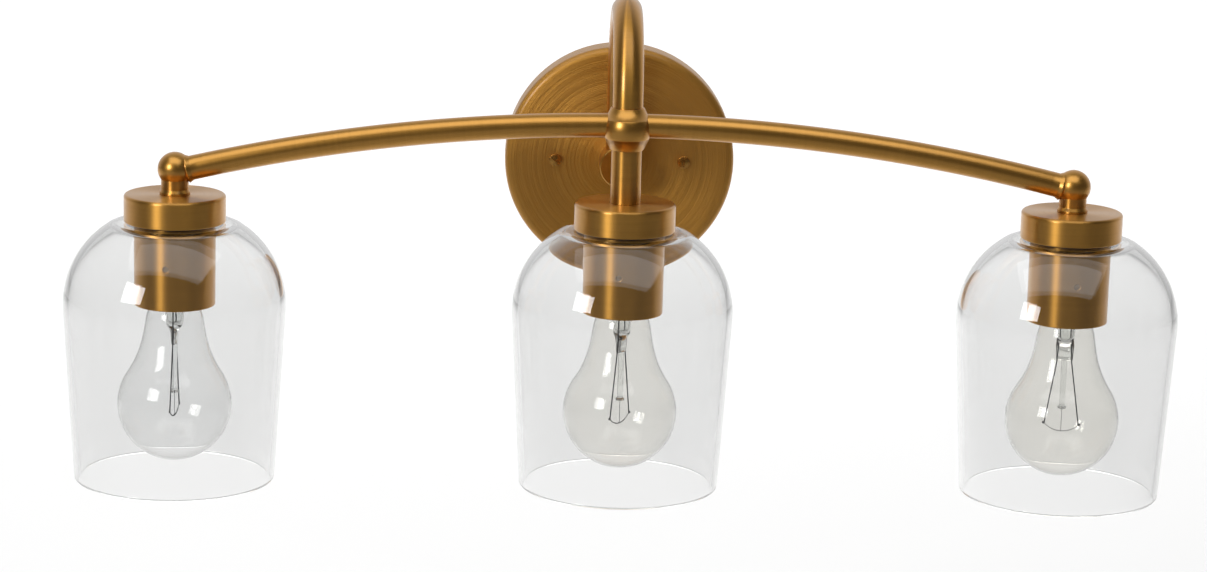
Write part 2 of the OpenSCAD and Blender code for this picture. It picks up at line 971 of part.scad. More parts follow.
// Neutral wires: white, one to each lamp's screw shell
module wires_neutral() {
  color([0.9, 0.9, 0.88])
    for (lamp = [-1, 0, 1]) {
      conductor(lamp, -1);
      at_lamp(lamp * lamp_spacing) {
        wire([0, wire_row, -4], [0, 9.2, -5.6], wire_radius);
        wire([0, 9.2, -5.6], [0, 9.2, -7.7], wire_radius);
      }
    }
}

// Ground wire: green, from its wire nut to the ground screw
module wire_ground() {
  y = -crossbar_thickness - 0.9;
  color([0.1, 0.4, 0.16]) {
    translate([18, 0, 0])
      difference() {
        back_rod(-crossbar_thickness - 1.7, 1.6, 3.2);
        back_rod(-crossbar_thickness - 3, 4, 1.75);
      }
    wire([15.2, y, -0.6], [6, y, -14], wire_radius);
    wire([6, y, -14], [0, y - 5, -24], wire_radius);
    wire([0, y - 5, -24], [0, y - 5, -34], wire_radius);
  }
}

// Wire nuts: three moulded caps over the joints to the supply
module wire_nuts() {
  color([0.85, 0.42, 0.08])
    for (place = [[-nut_x, front_y + 10.5, nut_z + 5], [nut_x, front_y + 10.5, nut_z + 5],
        [0, -crossbar_thickness - 5.9, nut_z - 2]])
      translate(place)
        mirror([0, 0, 1])
          difference() {
            cylinder(h = 15, r1 = 4.6, r2 = 3);
            translate([0, 0, -0.1])
              cylinder(h = 9, r1 = 3.6, r2 = 2.9);
          }
}

canopy();
crossbar();
canopy_screws();
ground_screw();
arm_boss();
arm_nipple();
arm_lock_washer();
arm_hex_nut();
gooseneck_tube();
hub_ball();
stem_tube();
bar_left();
bar_right();
end_ball_left();
end_ball_right();
neck_collars();
lamp_nipples();
cap_nuts();
gaskets();
wires_live();
wires_neutral();
wire_ground();
wire_nuts();
contact_tabs();
screw_shells();
cap_left();
cap_centre();
cap_right();
lampholder_left();
lampholder_centre();
lampholder_right();
shade_left();
shade_centre();
shade_right();
sleeve_left();
sleeve_centre();
sleeve_right();
set_screw_left();
set_screw_centre();
set_screw_right();
bulb_contact_left();
bulb_contact_centre();
bulb_contact_right();
bulb_insulator_left();
bulb_insulator_centre();
bulb_insulator_right();
bulb_base_left();
bulb_base_centre();
bulb_base_right();
bulb_glass_left();
bulb_glass_centre();
bulb_glass_right();
bulb_stem_left();
bulb_stem_centre();
bulb_stem_right();
bulb_filament_left();
bulb_filament_centre();
bulb_filament_right();
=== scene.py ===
"""Looks for a three-lamp brass vanity light bar with clear bell shades.

The fixture is laid out as it is put together: bracket and wiring, canopy, gooseneck,
hub, cross bar, then each lamp from its cap down to its bulb. Outlines are in
millimetres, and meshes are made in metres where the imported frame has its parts.
"""

import math

import bpy
import numpy as np
from mathutils import Matrix, Vector


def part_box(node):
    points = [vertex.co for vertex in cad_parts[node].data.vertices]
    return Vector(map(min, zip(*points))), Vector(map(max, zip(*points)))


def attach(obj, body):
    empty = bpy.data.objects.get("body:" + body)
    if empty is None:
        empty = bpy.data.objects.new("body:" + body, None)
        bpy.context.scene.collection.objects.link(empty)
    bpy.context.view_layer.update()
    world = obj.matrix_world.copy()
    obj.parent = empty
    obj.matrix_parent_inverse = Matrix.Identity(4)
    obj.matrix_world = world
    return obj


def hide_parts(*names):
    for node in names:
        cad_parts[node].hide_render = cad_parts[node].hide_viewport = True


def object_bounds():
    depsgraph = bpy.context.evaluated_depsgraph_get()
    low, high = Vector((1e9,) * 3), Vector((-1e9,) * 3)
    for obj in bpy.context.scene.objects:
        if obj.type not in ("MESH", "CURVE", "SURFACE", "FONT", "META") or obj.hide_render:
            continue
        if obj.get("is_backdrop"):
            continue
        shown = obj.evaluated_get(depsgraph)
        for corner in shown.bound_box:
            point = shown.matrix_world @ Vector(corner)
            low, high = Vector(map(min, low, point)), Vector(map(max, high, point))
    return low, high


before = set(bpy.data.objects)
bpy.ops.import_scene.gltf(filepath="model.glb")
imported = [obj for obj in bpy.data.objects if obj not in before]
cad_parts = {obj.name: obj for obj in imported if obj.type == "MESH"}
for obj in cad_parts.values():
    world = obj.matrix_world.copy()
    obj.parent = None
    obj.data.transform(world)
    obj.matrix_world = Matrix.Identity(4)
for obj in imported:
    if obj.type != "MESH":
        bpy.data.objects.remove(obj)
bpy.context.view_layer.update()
MM = 0.001

# ----------------------------------------
# Studio. A pale floor runs under and far behind the light bar, which hangs in
# the air as it would on its wall. A broad softbox hangs overhead in front, a
# small bright one stands to the left, and a third lights the floor behind.


def softbox(name, place, target, width, height, radiance):
    """A rectangular lamp at place that faces target. A flat lamp of power P and area A
    has radiance P / (pi A), so the power is worked back from the radiance wanted."""
    light = bpy.data.lights.new(name, "AREA")
    light.shape = "RECTANGLE"
    light.size, light.size_y = width, height
    light.energy = radiance * math.pi * width * height
    lamp = bpy.data.objects.new(name, light)
    bpy.context.scene.collection.objects.link(lamp)
    lamp.location = place
    lamp.rotation_mode = "QUATERNION"
    facing = Vector(target) - Vector(place)
    lamp.rotation_quaternion = facing.to_track_quat("-Z", "Y")
    lamp.visible_camera = False
    return lamp


def around(target, azimuth, elevation, distance):
    """The point that lies distance from target, azimuth degrees round from the front
    towards +x and elevation degrees up."""
    a, e = math.radians(azimuth), math.radians(elevation)
    step = (math.sin(a) * math.cos(e), -math.cos(a) * math.cos(e), math.sin(e))
    return Vector(target) + distance * Vector(step)


camera_target = Vector((-0.0102, -0.118, -0.0486))
camera_azimuth, camera_elevation, camera_roll = -1.901, 12.376, 1.506
camera_distance, camera_lens = 2.0258, 115.37
camera_place = around(camera_target, camera_azimuth, camera_elevation, camera_distance)
camera_data = bpy.data.cameras.new("studio_camera")
camera_data.sensor_width = 36.0
camera_data.lens = camera_lens
camera = bpy.data.objects.new("studio_camera", camera_data)
bpy.context.scene.collection.objects.link(camera)
camera_turn = (camera_target - camera_place).to_track_quat("-Z", "Y").to_matrix()
camera_turn = camera_turn @ Matrix.Rotation(math.radians(camera_roll), 3, "Z")
camera.matrix_world = Matrix.Translation(camera_place) @ camera_turn.to_4x4()
bpy.context.scene.camera = camera

lamps_middle = (0.0, -0.118, -0.05)
softbox("overhead_softbox", (-0.15, -0.75, 1.6), lamps_middle, 2.3, 1.4, 1.5)
softbox("key_softbox", around(lamps_middle, -42, 21, 2.6), lamps_middle, 0.6, 0.85, 14)
floor_softbox = softbox("floor_softbox", (0, 3.1, 2.6), (0, 2.6, 0), 6.0, 4.4, 2.2)
# Reflections leave it out, as it would draw hard white wedges on the bells.
floor_softbox.visible_glossy = False

floor_height = -0.45
floor_half = 9.0
floor_corners = [(-1, -1), (1, -1), (1, 1), (-1, 1)]
floor_mesh = bpy.data.meshes.new("studio_floor")
floor_mesh.from_pydata(
    [(floor_half * x, floor_half * y, floor_height) for x, y in floor_corners], [],
    [(0, 1, 2, 3)]
)
studio_floor = bpy.data.objects.new("studio_floor", floor_mesh)
bpy.context.scene.collection.objects.link(studio_floor)
studio_floor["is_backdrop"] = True


class Value:
    """A node's output with arithmetic: + - * / between outputs and numbers add Math
    nodes to the same tree."""

    def __init__(self, finish, socket):
        self.finish, self.socket = finish, socket

    def combine(self, operation, first, second):
        return self.finish.add(
            "ShaderNodeMath", {"operation": operation}, {0: first, 1: second}
        )

    def __add__(self, other):
        return self.combine("ADD", self, other)

    __radd__ = __add__

    def __sub__(self, other):
        return self.combine("SUBTRACT", self, other)

    def __rsub__(self, other):
        return self.combine("SUBTRACT", other, self)

    def __mul__(self, other):
        return self.combine("MULTIPLY", self, other)

    __rmul__ = __mul__

    def __truediv__(self, other):
        return self.combine("DIVIDE", self, other)


class Finish:
    """A surface finish: a node tree, with one method that makes any node in it."""

    def __init__(self, name, owner=None):
        self.data = owner or bpy.data.materials.new(name)
        self.data.use_nodes = True
        self.tree = self.data.node_tree
        self.tree.nodes.clear()

    def add(self, kind, settings=None, sockets=None, out=0):
        """Makes a node, sets its settings and then its sockets, and returns an output.
        A setting named stops fills a colour ramp with (position, colour) pairs."""
        node = self.tree.nodes.new(kind)
        for name, value in (settings or {}).items():
            if name == "stops":
                for stop, (position, colour) in zip(node.color_ramp.elements, value):
                    stop.position, stop.color = position, colour
            else:
                setattr(node, name, value)
        for name, value in (sockets or {}).items():
            if isinstance(value, Value):
                self.tree.links.new(value.socket, node.inputs[name])
            else:
                node.inputs[name].default_value = value
        return Value(self, node.outputs[out])

    def blend(self, share, first, second):
        """A colour that goes from first to second as share goes from 0 to 1."""
        sockets = {0: share, 6: first, 7: second}
        return self.add("ShaderNodeMix", {"data_type": "RGBA"}, sockets, out=2)

    def object_place(self):
        return self.add("ShaderNodeTexCoord", out=3)

    def noise(self, place, scale, detail=2.0, dimensions="3D", along=None):
        """Blender's noise at place. With along, the pattern changes quickly with that
        number too, which draws lines across it."""
        sockets = {"Vector": place, "Scale": scale, "Detail": detail}
        if along is not None:
            sockets["W"] = along
        return self.add(
            "ShaderNodeTexNoise", {"noise_dimensions": dimensions}, sockets
        )

    def vector(self, operation, first, second=None, amount=None):
        """Vector Math on one vector, on two, or on one and an amount to scale by."""
        sockets = {0: first}
        if second is not None:
            sockets[1] = second
        if amount is not None:
            sockets["Scale"] = amount
        return self.add("ShaderNodeVectorMath", {"operation": operation}, sockets)

    def bump(self, height, distance):
        return self.add(
            "ShaderNodeBump", None, {"Height": height, "Distance": distance}
        )

    def surface(self, shader):
        output = self.tree.nodes.new("ShaderNodeOutputMaterial")
        self.tree.links.new(shader.socket, output.inputs["Surface"])
        return self.data

    def principled(self, sockets):
        return self.surface(self.add("ShaderNodeBsdfPrincipled", None, sockets))


# The paper is pale behind the light bar and greyer in front of it, so that the
# brass has something dark to reflect.
paper = Finish("studio_paper")
paper_place = paper.object_place()
paper_back = paper.add("ShaderNodeSeparateXYZ", None, {0: paper_place}, out=1)
paper_tone = paper.add(
    "ShaderNodeValToRGB",
    {"stops": [(0.25, (0.30, 0.30, 0.30, 1)), (0.72, (0.87, 0.87, 0.87, 1))]},
    {0: paper_back * 0.5 + 0.5 + paper.noise(paper_place, 1.5) * 0.02},
)
floor_mesh.materials.append(
    paper.principled({"Base Color": paper_tone, "Roughness": 0.9})
)

# The room is dim in front of the light bar and bright behind it.
world = bpy.data.worlds.new("studio_room")
bpy.context.scene.world = world
room = Finish("studio_room", world)
room_way = room.add("ShaderNodeTexCoord", out=0)
room_back = room.add("ShaderNodeSeparateXYZ", None, {0: room_way}, out=1)
room_tone = room.add(
    "ShaderNodeValToRGB",
    {"stops": [(0.50, (0.08, 0.078, 0.075, 1)), (0.86, (0.72, 0.72, 0.72, 1))]},
    {0: room_back * 0.5 + 0.5},
)
room_light = room.add(
    "ShaderNodeBackground", None, {"Color": room_tone, "Strength": 1.0}
)
room_output = room.tree.nodes.new("ShaderNodeOutputWorld")
room.tree.links.new(room_light.socket, room_output.inputs["Surface"])
bpy.context.scene.view_settings.view_transform = "Standard"
bpy.context.scene.view_settings.look = "None"
bpy.context.scene.cycles.max_bounces = 24
bpy.context.scene.cycles.transmission_bounces = 24
bpy.context.scene.cycles.transparent_max_bounces = 24

# ----------------------------------------
# Wall bracket. A zinc-plated steel strip screws to the junction box, with a
# green ground screw in it. Both keep the shapes that they were designed with.


def clouded(name, dark, light, scale, roughness, swing, detail=2.0, metallic=0.0,
            grit=0, depth=0.0, grit_detail=2.0):
    """A finish whose colour and gloss drift together with one soft noise: roughness
    plus swing times the noise. A finer noise pits the surface to a small depth."""
    finish = Finish(name)
    place = finish.object_place()
    cloud = finish.noise(place, scale, detail)
    sockets = {
        "Base Color": finish.blend(cloud, dark + (1,), light + (1,)),
        "Metallic": metallic,
        "Roughness": roughness + cloud * swing,
    }
    if grit:
        sockets["Normal"] = finish.bump(finish.noise(place, grit, grit_detail), depth)
    return finish.principled(sockets)


def plated(name, dark, light, roughness):
    """Metal with a cloudy plating, and a fine stipple that breaks up reflections."""
    return clouded(name, dark, light, 220.0, roughness - 0.08, 0.16, 3.0, 1.0,
                   grit=2640.0, depth=0.00002, grit_detail=1.0)


def repaint(node, material):
    """Gives a carried-over part its finish, in each of its material slots."""
    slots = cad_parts[node].data.materials
    for index in range(len(slots)):
        slots[index] = material
    if not len(slots):
        slots.append(material)


zinc = plated("zinc_steel", (0.50, 0.51, 0.53), (0.68, 0.69, 0.70), 0.34)
green_zinc = plated("green_screw", (0.03, 0.20, 0.07), (0.07, 0.33, 0.13), 0.36)
plain_brass = plated("plain_brass", (0.55, 0.36, 0.13), (0.70, 0.48, 0.19), 0.27)
for node in ("crossbar", "arm_lock_washer"):
    repaint(node, zinc)
repaint("ground_screw", green_zinc)
for node in ("arm_hex_nut", "arm_nipple", "lamp_nipples", "cap_nuts"):
    repaint(node, plain_brass)

# ----------------------------------------
# Wiring. One black and one white plastic-covered wire run to each lamp through
# the gooseneck and the bars. A green wire ends in a loop under its screw.


def soften(corners, radii, closed=True, steps=5, guard=0.12):
    """Rounds the corners of an outline. Each line stops t = radius / tan(half the
    corner's angle) short of the corner, and an arc joins the two ends: with a and b
    from the arc's centre to them, w apart, the point at share s of the arc is
    (sin((1 - s) w) a + sin(s w) b) / sin w. A guard point on each line beside the arc
    keeps the flats flat when the surface is shaded smooth."""
    p = np.asarray(corners, float)
    before, after = np.roll(p, 1, 0) - p, np.roll(p, -1, 0) - p
    size_before = np.linalg.norm(before, axis=1, keepdims=True)
    size_after = np.linalg.norm(after, axis=1, keepdims=True)
    before, after = before / size_before, after / size_after
    room_left = 0.45 * np.minimum(size_before, size_after)
    cosine = (before * after).sum(1, keepdims=True)
    half = np.arccos(np.clip(cosine, -1 + 1e-9, 1 - 1e-9)) / 2
    wanted = np.broadcast_to(np.asarray(radii, float), (len(p),))[:, None]
    t = np.minimum(wanted / np.tan(half), room_left)
    middle = before + after
    middle = middle / np.maximum(np.linalg.norm(middle, axis=1, keepdims=True), 1e-9)
    centre = p + middle * t / np.cos(half)
    turn = np.pi - 2 * half
    a, b = p + before * t - centre, p + after * t - centre
    share = np.linspace(0, 1, steps + 1)[None, :, None]
    turn3 = turn[:, None]
    bend = np.sin((1 - share) * turn3) * a[:, None] + np.sin(share * turn3) * b[:, None]
    arc = centre[:, None] + bend / np.maximum(np.sin(turn3), 1e-6)
    arc = np.where((t > 1e-6)[:, None], arc, p[:, None])
    beside = np.minimum(guard, 0.1 * room_left)
    first = (p + before * (t + beside))[:, None]
    last = (p + after * (t + beside))[:, None]
    rows = np.concatenate([first, arc, last], 1)
    if closed:
        outline = rows.reshape(-1, p.shape[1])
    else:
        inner = rows[1:-1].reshape(-1, p.shape[1])
        outline = np.concatenate([p[:1], inner, p[-1:]])
    gap = np.linalg.norm(np.diff(outline, axis=0), axis=1)
    return outline[np.concatenate([[True], gap > 1e-4])]


def insulation(name, dark, light):
    """Extruded plastic cover: slightly uneven gloss and a faintly pitted surface."""
    return clouded(name, dark, light, 300.0, 0.34, 0.14, grit=1500.0, depth=0.00002)


def stand_in(piece, body, node):
    """The piece rides on a body and stands in for a part, whose own mesh is hidden."""
    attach(piece, body)
    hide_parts(node)


def wire_bundle(name, runs, radius, material, resolution=3):
    """Round wires of one radius, each a line through its points, as one curve piece."""
    curve = bpy.data.curves.new(name, "CURVE")
    curve.dimensions = "3D"
    curve.bevel_depth = radius * MM
    curve.bevel_resolution = resolution
    curve.use_fill_caps = True
    for run in runs:
        run = np.asarray(run, float) * MM
        spline = curve.splines.new("POLY")
        spline.points.add(len(run) - 1)
        spline.points.foreach_set("co", np.c_[run, np.ones(len(run))].ravel())
    curve.materials.append(material)
    piece = bpy.data.objects.new(name, curve)
    bpy.context.scene.collection.objects.link(piece)
    return piece


SIDES = {"left": -1, "centre": 0, "right": 1}
lamp_axis = {}
for side in SIDES:
    cap_low, cap_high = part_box("cap_" + side)
    lamp_axis[side] = np.array(
        [(cap_low.x + cap_high.x) / 2, (cap_low.y + cap_high.y) / 2, cap_low.z]
    ) / MM
canopy_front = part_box("canopy")[0].y / MM
arm_low, arm_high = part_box("gooseneck_tube")
arm_radius, arm_bore = 8.0, 7.0
arm_rear = arm_high.y / MM - arm_radius
arm_front = arm_low.y / MM + arm_radius
arch_radius = (arm_rear - arm_front) / 2
arch_top = arm_high.z / MM - arm_radius
spring_height = arch_top - arch_radius
hub_centre = 35.4
bar_radius = 960.0
bar_middle = hub_centre + 1.5 - bar_radius


def arch_points(shift, steps=40):
    """Points round the gooseneck's arch, shift outside its centre line: the half
    circle (y, z) = middle + (radius + shift) (cos a, sin a)."""
    a = np.linspace(0, np.pi, steps)
    y = arm_rear - arch_radius + (arch_radius + shift) * np.cos(a)
    return y, spring_height + (arch_radius + shift) * np.sin(a)


wire_radius, wire_step, wire_row, nut_x, nut_z = 0.75, 1.7, 0.85, 20.0, -30.0


def conductor(lamp, row, seat):
    """One lamp's wire from its wire nut up into the arm, over the arch, along its bar
    and down to the lampholder. Each straight run meets the next with a soft bend."""
    across, v = lamp * wire_step, row * wire_row
    back = canopy_front + 10.5 + row
    start = -row * nut_x + lamp * 1.6
    climb = [[start, back, nut_z - 1], [start, back, nut_z + 7], [across, back, v]]
    climb += [[across, arm_rear + v, v], [across, arm_rear + v, spring_height - 6]]
    path = soften(climb, 2.5, closed=False, steps=6)
    y, z = arch_points(v)
    path = np.concatenate([path, np.c_[np.full(len(y), across), y, z]])
    low = seat[2] - 4.5
    if lamp == 0:
        path = np.concatenate([path, [[0, y[-1], low]]])
    else:
        x = np.linspace(4.5, 227, 60)
        bar = bar_middle + np.sqrt(bar_radius**2 - x**2)
        run = [path[-1], [across, y[-1], bar[0]], [lamp * x[0], y[-1], bar[0]]]
        bend = soften(run, 1.6, closed=False, steps=6)[1:-1]
        along = np.c_[lamp * x, np.full(len(x), y[-1]), bar]
        drop = [along[-1], [seat[0], y[-1], bar[-1] - 0.6], [seat[0], y[-1], low]]
        path = np.concatenate([path, bend, along, soften(drop, 2.4, closed=False)[1:]])
    return path


for node, row, dark, light in (
    ("wires_live", 1, (0.012, 0.012, 0.013), (0.03, 0.03, 0.03)),
    ("wires_neutral", -1, (0.70, 0.69, 0.65), (0.82, 0.82, 0.79)),
):
    runs = [conductor(SIDES[side], row, lamp_axis[side]) for side in SIDES]
    for side in SIDES:
        x, y, z = lamp_axis[side]
        tail = [[x, y - wire_row * row, z - 4], [x, y - wire_row * row, z - 7.7]]
        if row < 0:
            tail = [tail[0], [x, y + 9.2, z - 5.6], [x, y + 9.2, z - 7.7]]
            tail = soften(tail, 0.8, closed=False)
        runs.append(tail)
    finish = insulation(node + "_cover", dark, light)
    piece = wire_bundle(node.replace("wires", "wiring"), runs, wire_radius, finish)
    stand_in(piece, "fixture", node)

ground_y = -2.9
turn = np.linspace(-0.25 * np.pi, 1.25 * np.pi, 24)
eyelet = np.c_[
    18 - 2.45 * np.sin(turn), np.full(24, ground_y), 2.45 * np.cos(turn - np.pi)
]
ground_run = [[15.2, ground_y, -0.6], [6, ground_y, -14]]
ground_run += [[0, ground_y - 5, -24], [0, ground_y - 5, -34]]
ground_finish = insulation("green_wire_cover", (0.015, 0.16, 0.05), (0.04, 0.27, 0.10))
ground = wire_bundle(
    "ground_wiring", [soften(ground_run, 5.0, closed=False, steps=8)], wire_radius,
    ground_finish
)
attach(ground, "fixture")
bare_copper = plated("bare_copper", (0.50, 0.22, 0.10), (0.72, 0.36, 0.18), 0.32)
loop = wire_bundle("ground_loop", [eyelet], 0.7, bare_copper)
stand_in(loop, "fixture", "wire_ground")

# Wire nuts: ribbed plastic cones screwed over the twisted ends of the wires.


def straight(origin, way=(0, 0, 1)):
    """A straight centre line: the point s along it is origin + s way. Returns points,
    and two directions square to the line."""
    way = np.asarray(way, float)
    side = np.array([1.0, 0, 0])
    up = np.cross(way, side)

    def line(s):
        centres = np.asarray(origin, float) + s[:, None] * way
        size = (len(s), 3)
        return centres, np.broadcast_to(side, size), np.broadcast_to(up, size)

    return line


def fill_in(outline, step, closed=True):
    """Adds points to an outline so that none lie more than step apart."""
    p = np.asarray(outline, float)
    q = np.roll(p, -1, 0) if closed else p[1:]
    p = p if closed else p[:-1]
    parts = np.maximum(np.ceil(np.linalg.norm(q - p, axis=1) / step), 1).astype(int)
    start = np.repeat(p, parts, 0)
    reach = np.repeat(q - p, parts, 0)
    number = np.arange(parts.sum()) - np.repeat(np.cumsum(parts) - parts, parts)
    full = start + reach * (number / np.repeat(parts, parts))[:, None]
    return full if closed else np.concatenate([full, q[-1:]])


def skin(name, grid, material, closed=True, grain=None, copies=((0, 0, 0),)):
    """A mesh over grid[i, j], the point at step i of the outline and step j round the
    piece. Steps round always join up, and the outline's own ends join if closed. An
    open outline's ends are poles, each made one vertex. A grain number goes with each
    point. Faces are turned over if the signed volume comes out negative."""
    rows, around_count = grid.shape[:2]
    points = grid.reshape(-1, 3)
    index = np.arange(rows * around_count).reshape(rows, around_count)
    if not closed:
        index[0], index[-1] = index[0, 0], index[-1, 0]
    upper = np.roll(index, -1, 0) if closed else index[1:]
    lower = index if closed else index[:-1]
    step = np.gradient(grid, axis=0)
    if closed:
        step = np.roll(grid, -1, 0) - np.roll(grid, 1, 0)
    step = step / np.maximum(np.linalg.norm(step, axis=2, keepdims=True), 1e-9)
    quads = np.stack(
        [lower, np.roll(lower, -1, 1), np.roll(upper, -1, 1), upper], 2
    ).reshape(-1, 4)
    used, quads = np.unique(quads, return_inverse=True)
    quads, points = quads.reshape(-1, 4), points[used]
    a, b, c, d = (points[quads[:, k]] for k in range(4))
    volume = (a * np.cross(b, c)).sum() + (a * np.cross(c, d)).sum()
    if volume < 0:
        quads = quads[:, ::-1]
    grain = np.zeros(rows * around_count) if grain is None else grain.ravel()
    count, base = len(points), quads
    quads = np.concatenate([base + k * count for k in range(len(copies))])
    points = np.concatenate([points + np.asarray(shift, float) for shift in copies])
    faces = [tuple(dict.fromkeys(q)) for q in quads.tolist()]
    mesh = bpy.data.meshes.new(name)
    mesh.from_pydata((points * MM).tolist(), [], [f for f in faces if len(f) > 2])
    mesh.polygons.foreach_set("use_smooth", np.ones(len(mesh.polygons), bool))
    lines = mesh.attributes.new("grain", "FLOAT", "POINT")
    all_grain = np.tile(grain[used], len(copies)).astype(np.float32)
    lines.data.foreach_set("value", all_grain)
    across = mesh.attributes.new("across", "FLOAT_VECTOR", "POINT")
    steps = np.tile(step.reshape(-1, 3)[used], (len(copies), 1))
    across.data.foreach_set("vector", steps.ravel())
    mesh.materials.append(material)
    piece = bpy.data.objects.new(name, mesh)
    bpy.context.scene.collection.objects.link(piece)
    return piece


def round_piece(name, outline, line, material, closed=True, sides=96, angles=None,
                ripple=None, copies=((0, 0, 0),)):
    """A round piece about a centre line. The outline's points are (s, radius), and the
    surface is line(s) + radius (cos a side + sin a up). A ripple changes the radius by
    place and angle. Grain is the length along the outline."""
    outline = np.asarray(outline, float)
    a = np.linspace(0, 2 * np.pi, sides, endpoint=False) if angles is None else angles
    centres, side, up = line(outline[:, 0])
    radius = np.broadcast_to(outline[:, 1:2], (len(outline), len(a)))
    if ripple is not None:
        radius = ripple(outline[:, 0:1], radius, a[None, :])
    across, upwards = np.cos(a)[None, :, None], np.sin(a)[None, :, None]
    ring = across * side[:, None] + upwards * up[:, None]
    grid = centres[:, None] + radius[..., None] * ring
    steps = np.linalg.norm(np.diff(outline, axis=0), axis=1)
    length = np.concatenate([[0], np.cumsum(steps)])
    grain = np.broadcast_to(length[:, None], radius.shape)
    return skin(name, grid, material, closed, grain, copies)


def nut_ribs(s, radius, a):
    """Twelve rounded ribs round the skirt, fading out towards the tip: the radius gains
    0.35 |cos 6a| times a ramp that is 1 below mid height."""
    ramp = np.clip((-s - 2.0) / 4.0, 0, 1)
    return radius + 0.35 * (np.abs(np.cos(6 * a)) - 1) * ramp * (radius > 3.6)


orange = insulation("wire_nut_plastic", (0.62, 0.20, 0.02), (0.80, 0.30, 0.04))
nut_outline = soften(
    [[0, 4.6], [-15, 3.0], [-15, 0.3], [-14.2, 0.3], [-9, 2.6], [0, 3.6]],
    [0.3, 1.2, 0.05, 0.05, 0.3, 0.3],
)
nut_tops = [(x, canopy_front + 10.5, nut_z + 5) for x in (-nut_x, nut_x)]
nut_tops.append((0, ground_y - 5, nut_z - 2))
nuts = round_piece(
    "twist_on_nuts", fill_in(nut_outline, 1.0), straight((0, 0, 0)), orange, sides=72,
    ripple=nut_ribs, copies=nut_tops
)
stand_in(nuts, "fixture", "wire_nuts")

# ----------------------------------------
# Canopy. A round pan spun from brass sheet, with a rounded front edge. Its face
# is brushed in circles on the lathe, then the pan is lacquered.


def satin_brass(name, spread, roughness, stretch=0.0, line_step=5.5, streak=0.55):
    """Brushed and lacquered brass. Fine noise that changes quickly along the grain
    number draws the brush lines in colour and gloss, and broader noise shifts the
    colour a little, as lacquer and handling do. Each groove tilts the surface across
    the lines: normal + spread (groove noise - 0.5) across. On pieces turned about the
    vertical, stretch draws highlights out upwards and downwards."""
    brass = Finish(name)
    place = brass.object_place()
    grain = brass.add("ShaderNodeAttribute", {"attribute_name": "grain"}, out=2)
    across = brass.add("ShaderNodeAttribute", {"attribute_name": "across"}, out=1)
    across = brass.add(
        "ShaderNodeVectorTransform",
        {"vector_type": "VECTOR", "convert_from": "OBJECT", "convert_to": "WORLD"},
        {0: across},
    )
    slow = brass.vector("SCALE", place, amount=55.0)
    slower = brass.vector("SCALE", place, amount=14.0)
    fine = brass.noise(slow, 1.0, 2.0, "4D", grain * line_step)
    broad = brass.noise(slower, 1.0, 3.0, "4D", grain * streak)
    groove = brass.noise(slower, 1.0, 0.0, "4D", grain * 31.0)
    cloud = brass.noise(place, 22.0, 3.0)
    lean = brass.vector("SCALE", across, amount=(groove - 0.5) * spread)
    facing = brass.add("ShaderNodeNewGeometry", out=1)
    return brass.principled(
        {
            "Base Color": brass.blend(
                fine * 0.35 + broad * 0.4 + cloud * 0.25,
                (0.47, 0.227, 0.037, 1),
                (0.71, 0.365, 0.074, 1),
            ),
            "Metallic": 1.0,
            "Roughness": roughness + fine * 0.12 + cloud * 0.08,
            "Anisotropic": stretch,
            "Anisotropic Rotation": 0.25,
            "Coat Weight": 0.5,
            "Coat Roughness": 0.2,
            "Normal": brass.vector("NORMALIZE", brass.vector("ADD", facing, lean)),
        }
    )


turned_brass = satin_brass("turned_satin_brass", 0.1, 0.3, stretch=0.88)
tube_brass = satin_brass("tube_satin_brass", 0.06, 0.25)
canopy_brass = satin_brass("canopy_satin_brass", 2.5, 0.4, line_step=9, streak=0.12)
canopy_radius, canopy_depth, canopy_wall, canopy_edge = 62.5, -canopy_front, 1.2, 4.0
canopy_bore = 5.4
canopy_outline = soften(
    [[0, canopy_radius], [canopy_depth, canopy_radius], [canopy_depth, canopy_bore],
    [canopy_depth - canopy_wall, canopy_bore],
    [canopy_depth - canopy_wall, canopy_radius - canopy_wall],
    [0, canopy_radius - canopy_wall]],
    [0.3, canopy_edge, 0.1, 0.1, canopy_edge - canopy_wall, 0.3], steps=10
)
canopy = round_piece(
    "canopy_pan", canopy_outline, straight((0, 0, 0), (0, -1, 0)), canopy_brass,
    sides=192
)
stand_in(canopy, "fixture", "canopy")

# Canopy screws: slotted round heads. Each head is a stack of chords across its
# slot, so that the slot's walls are straight and upright.


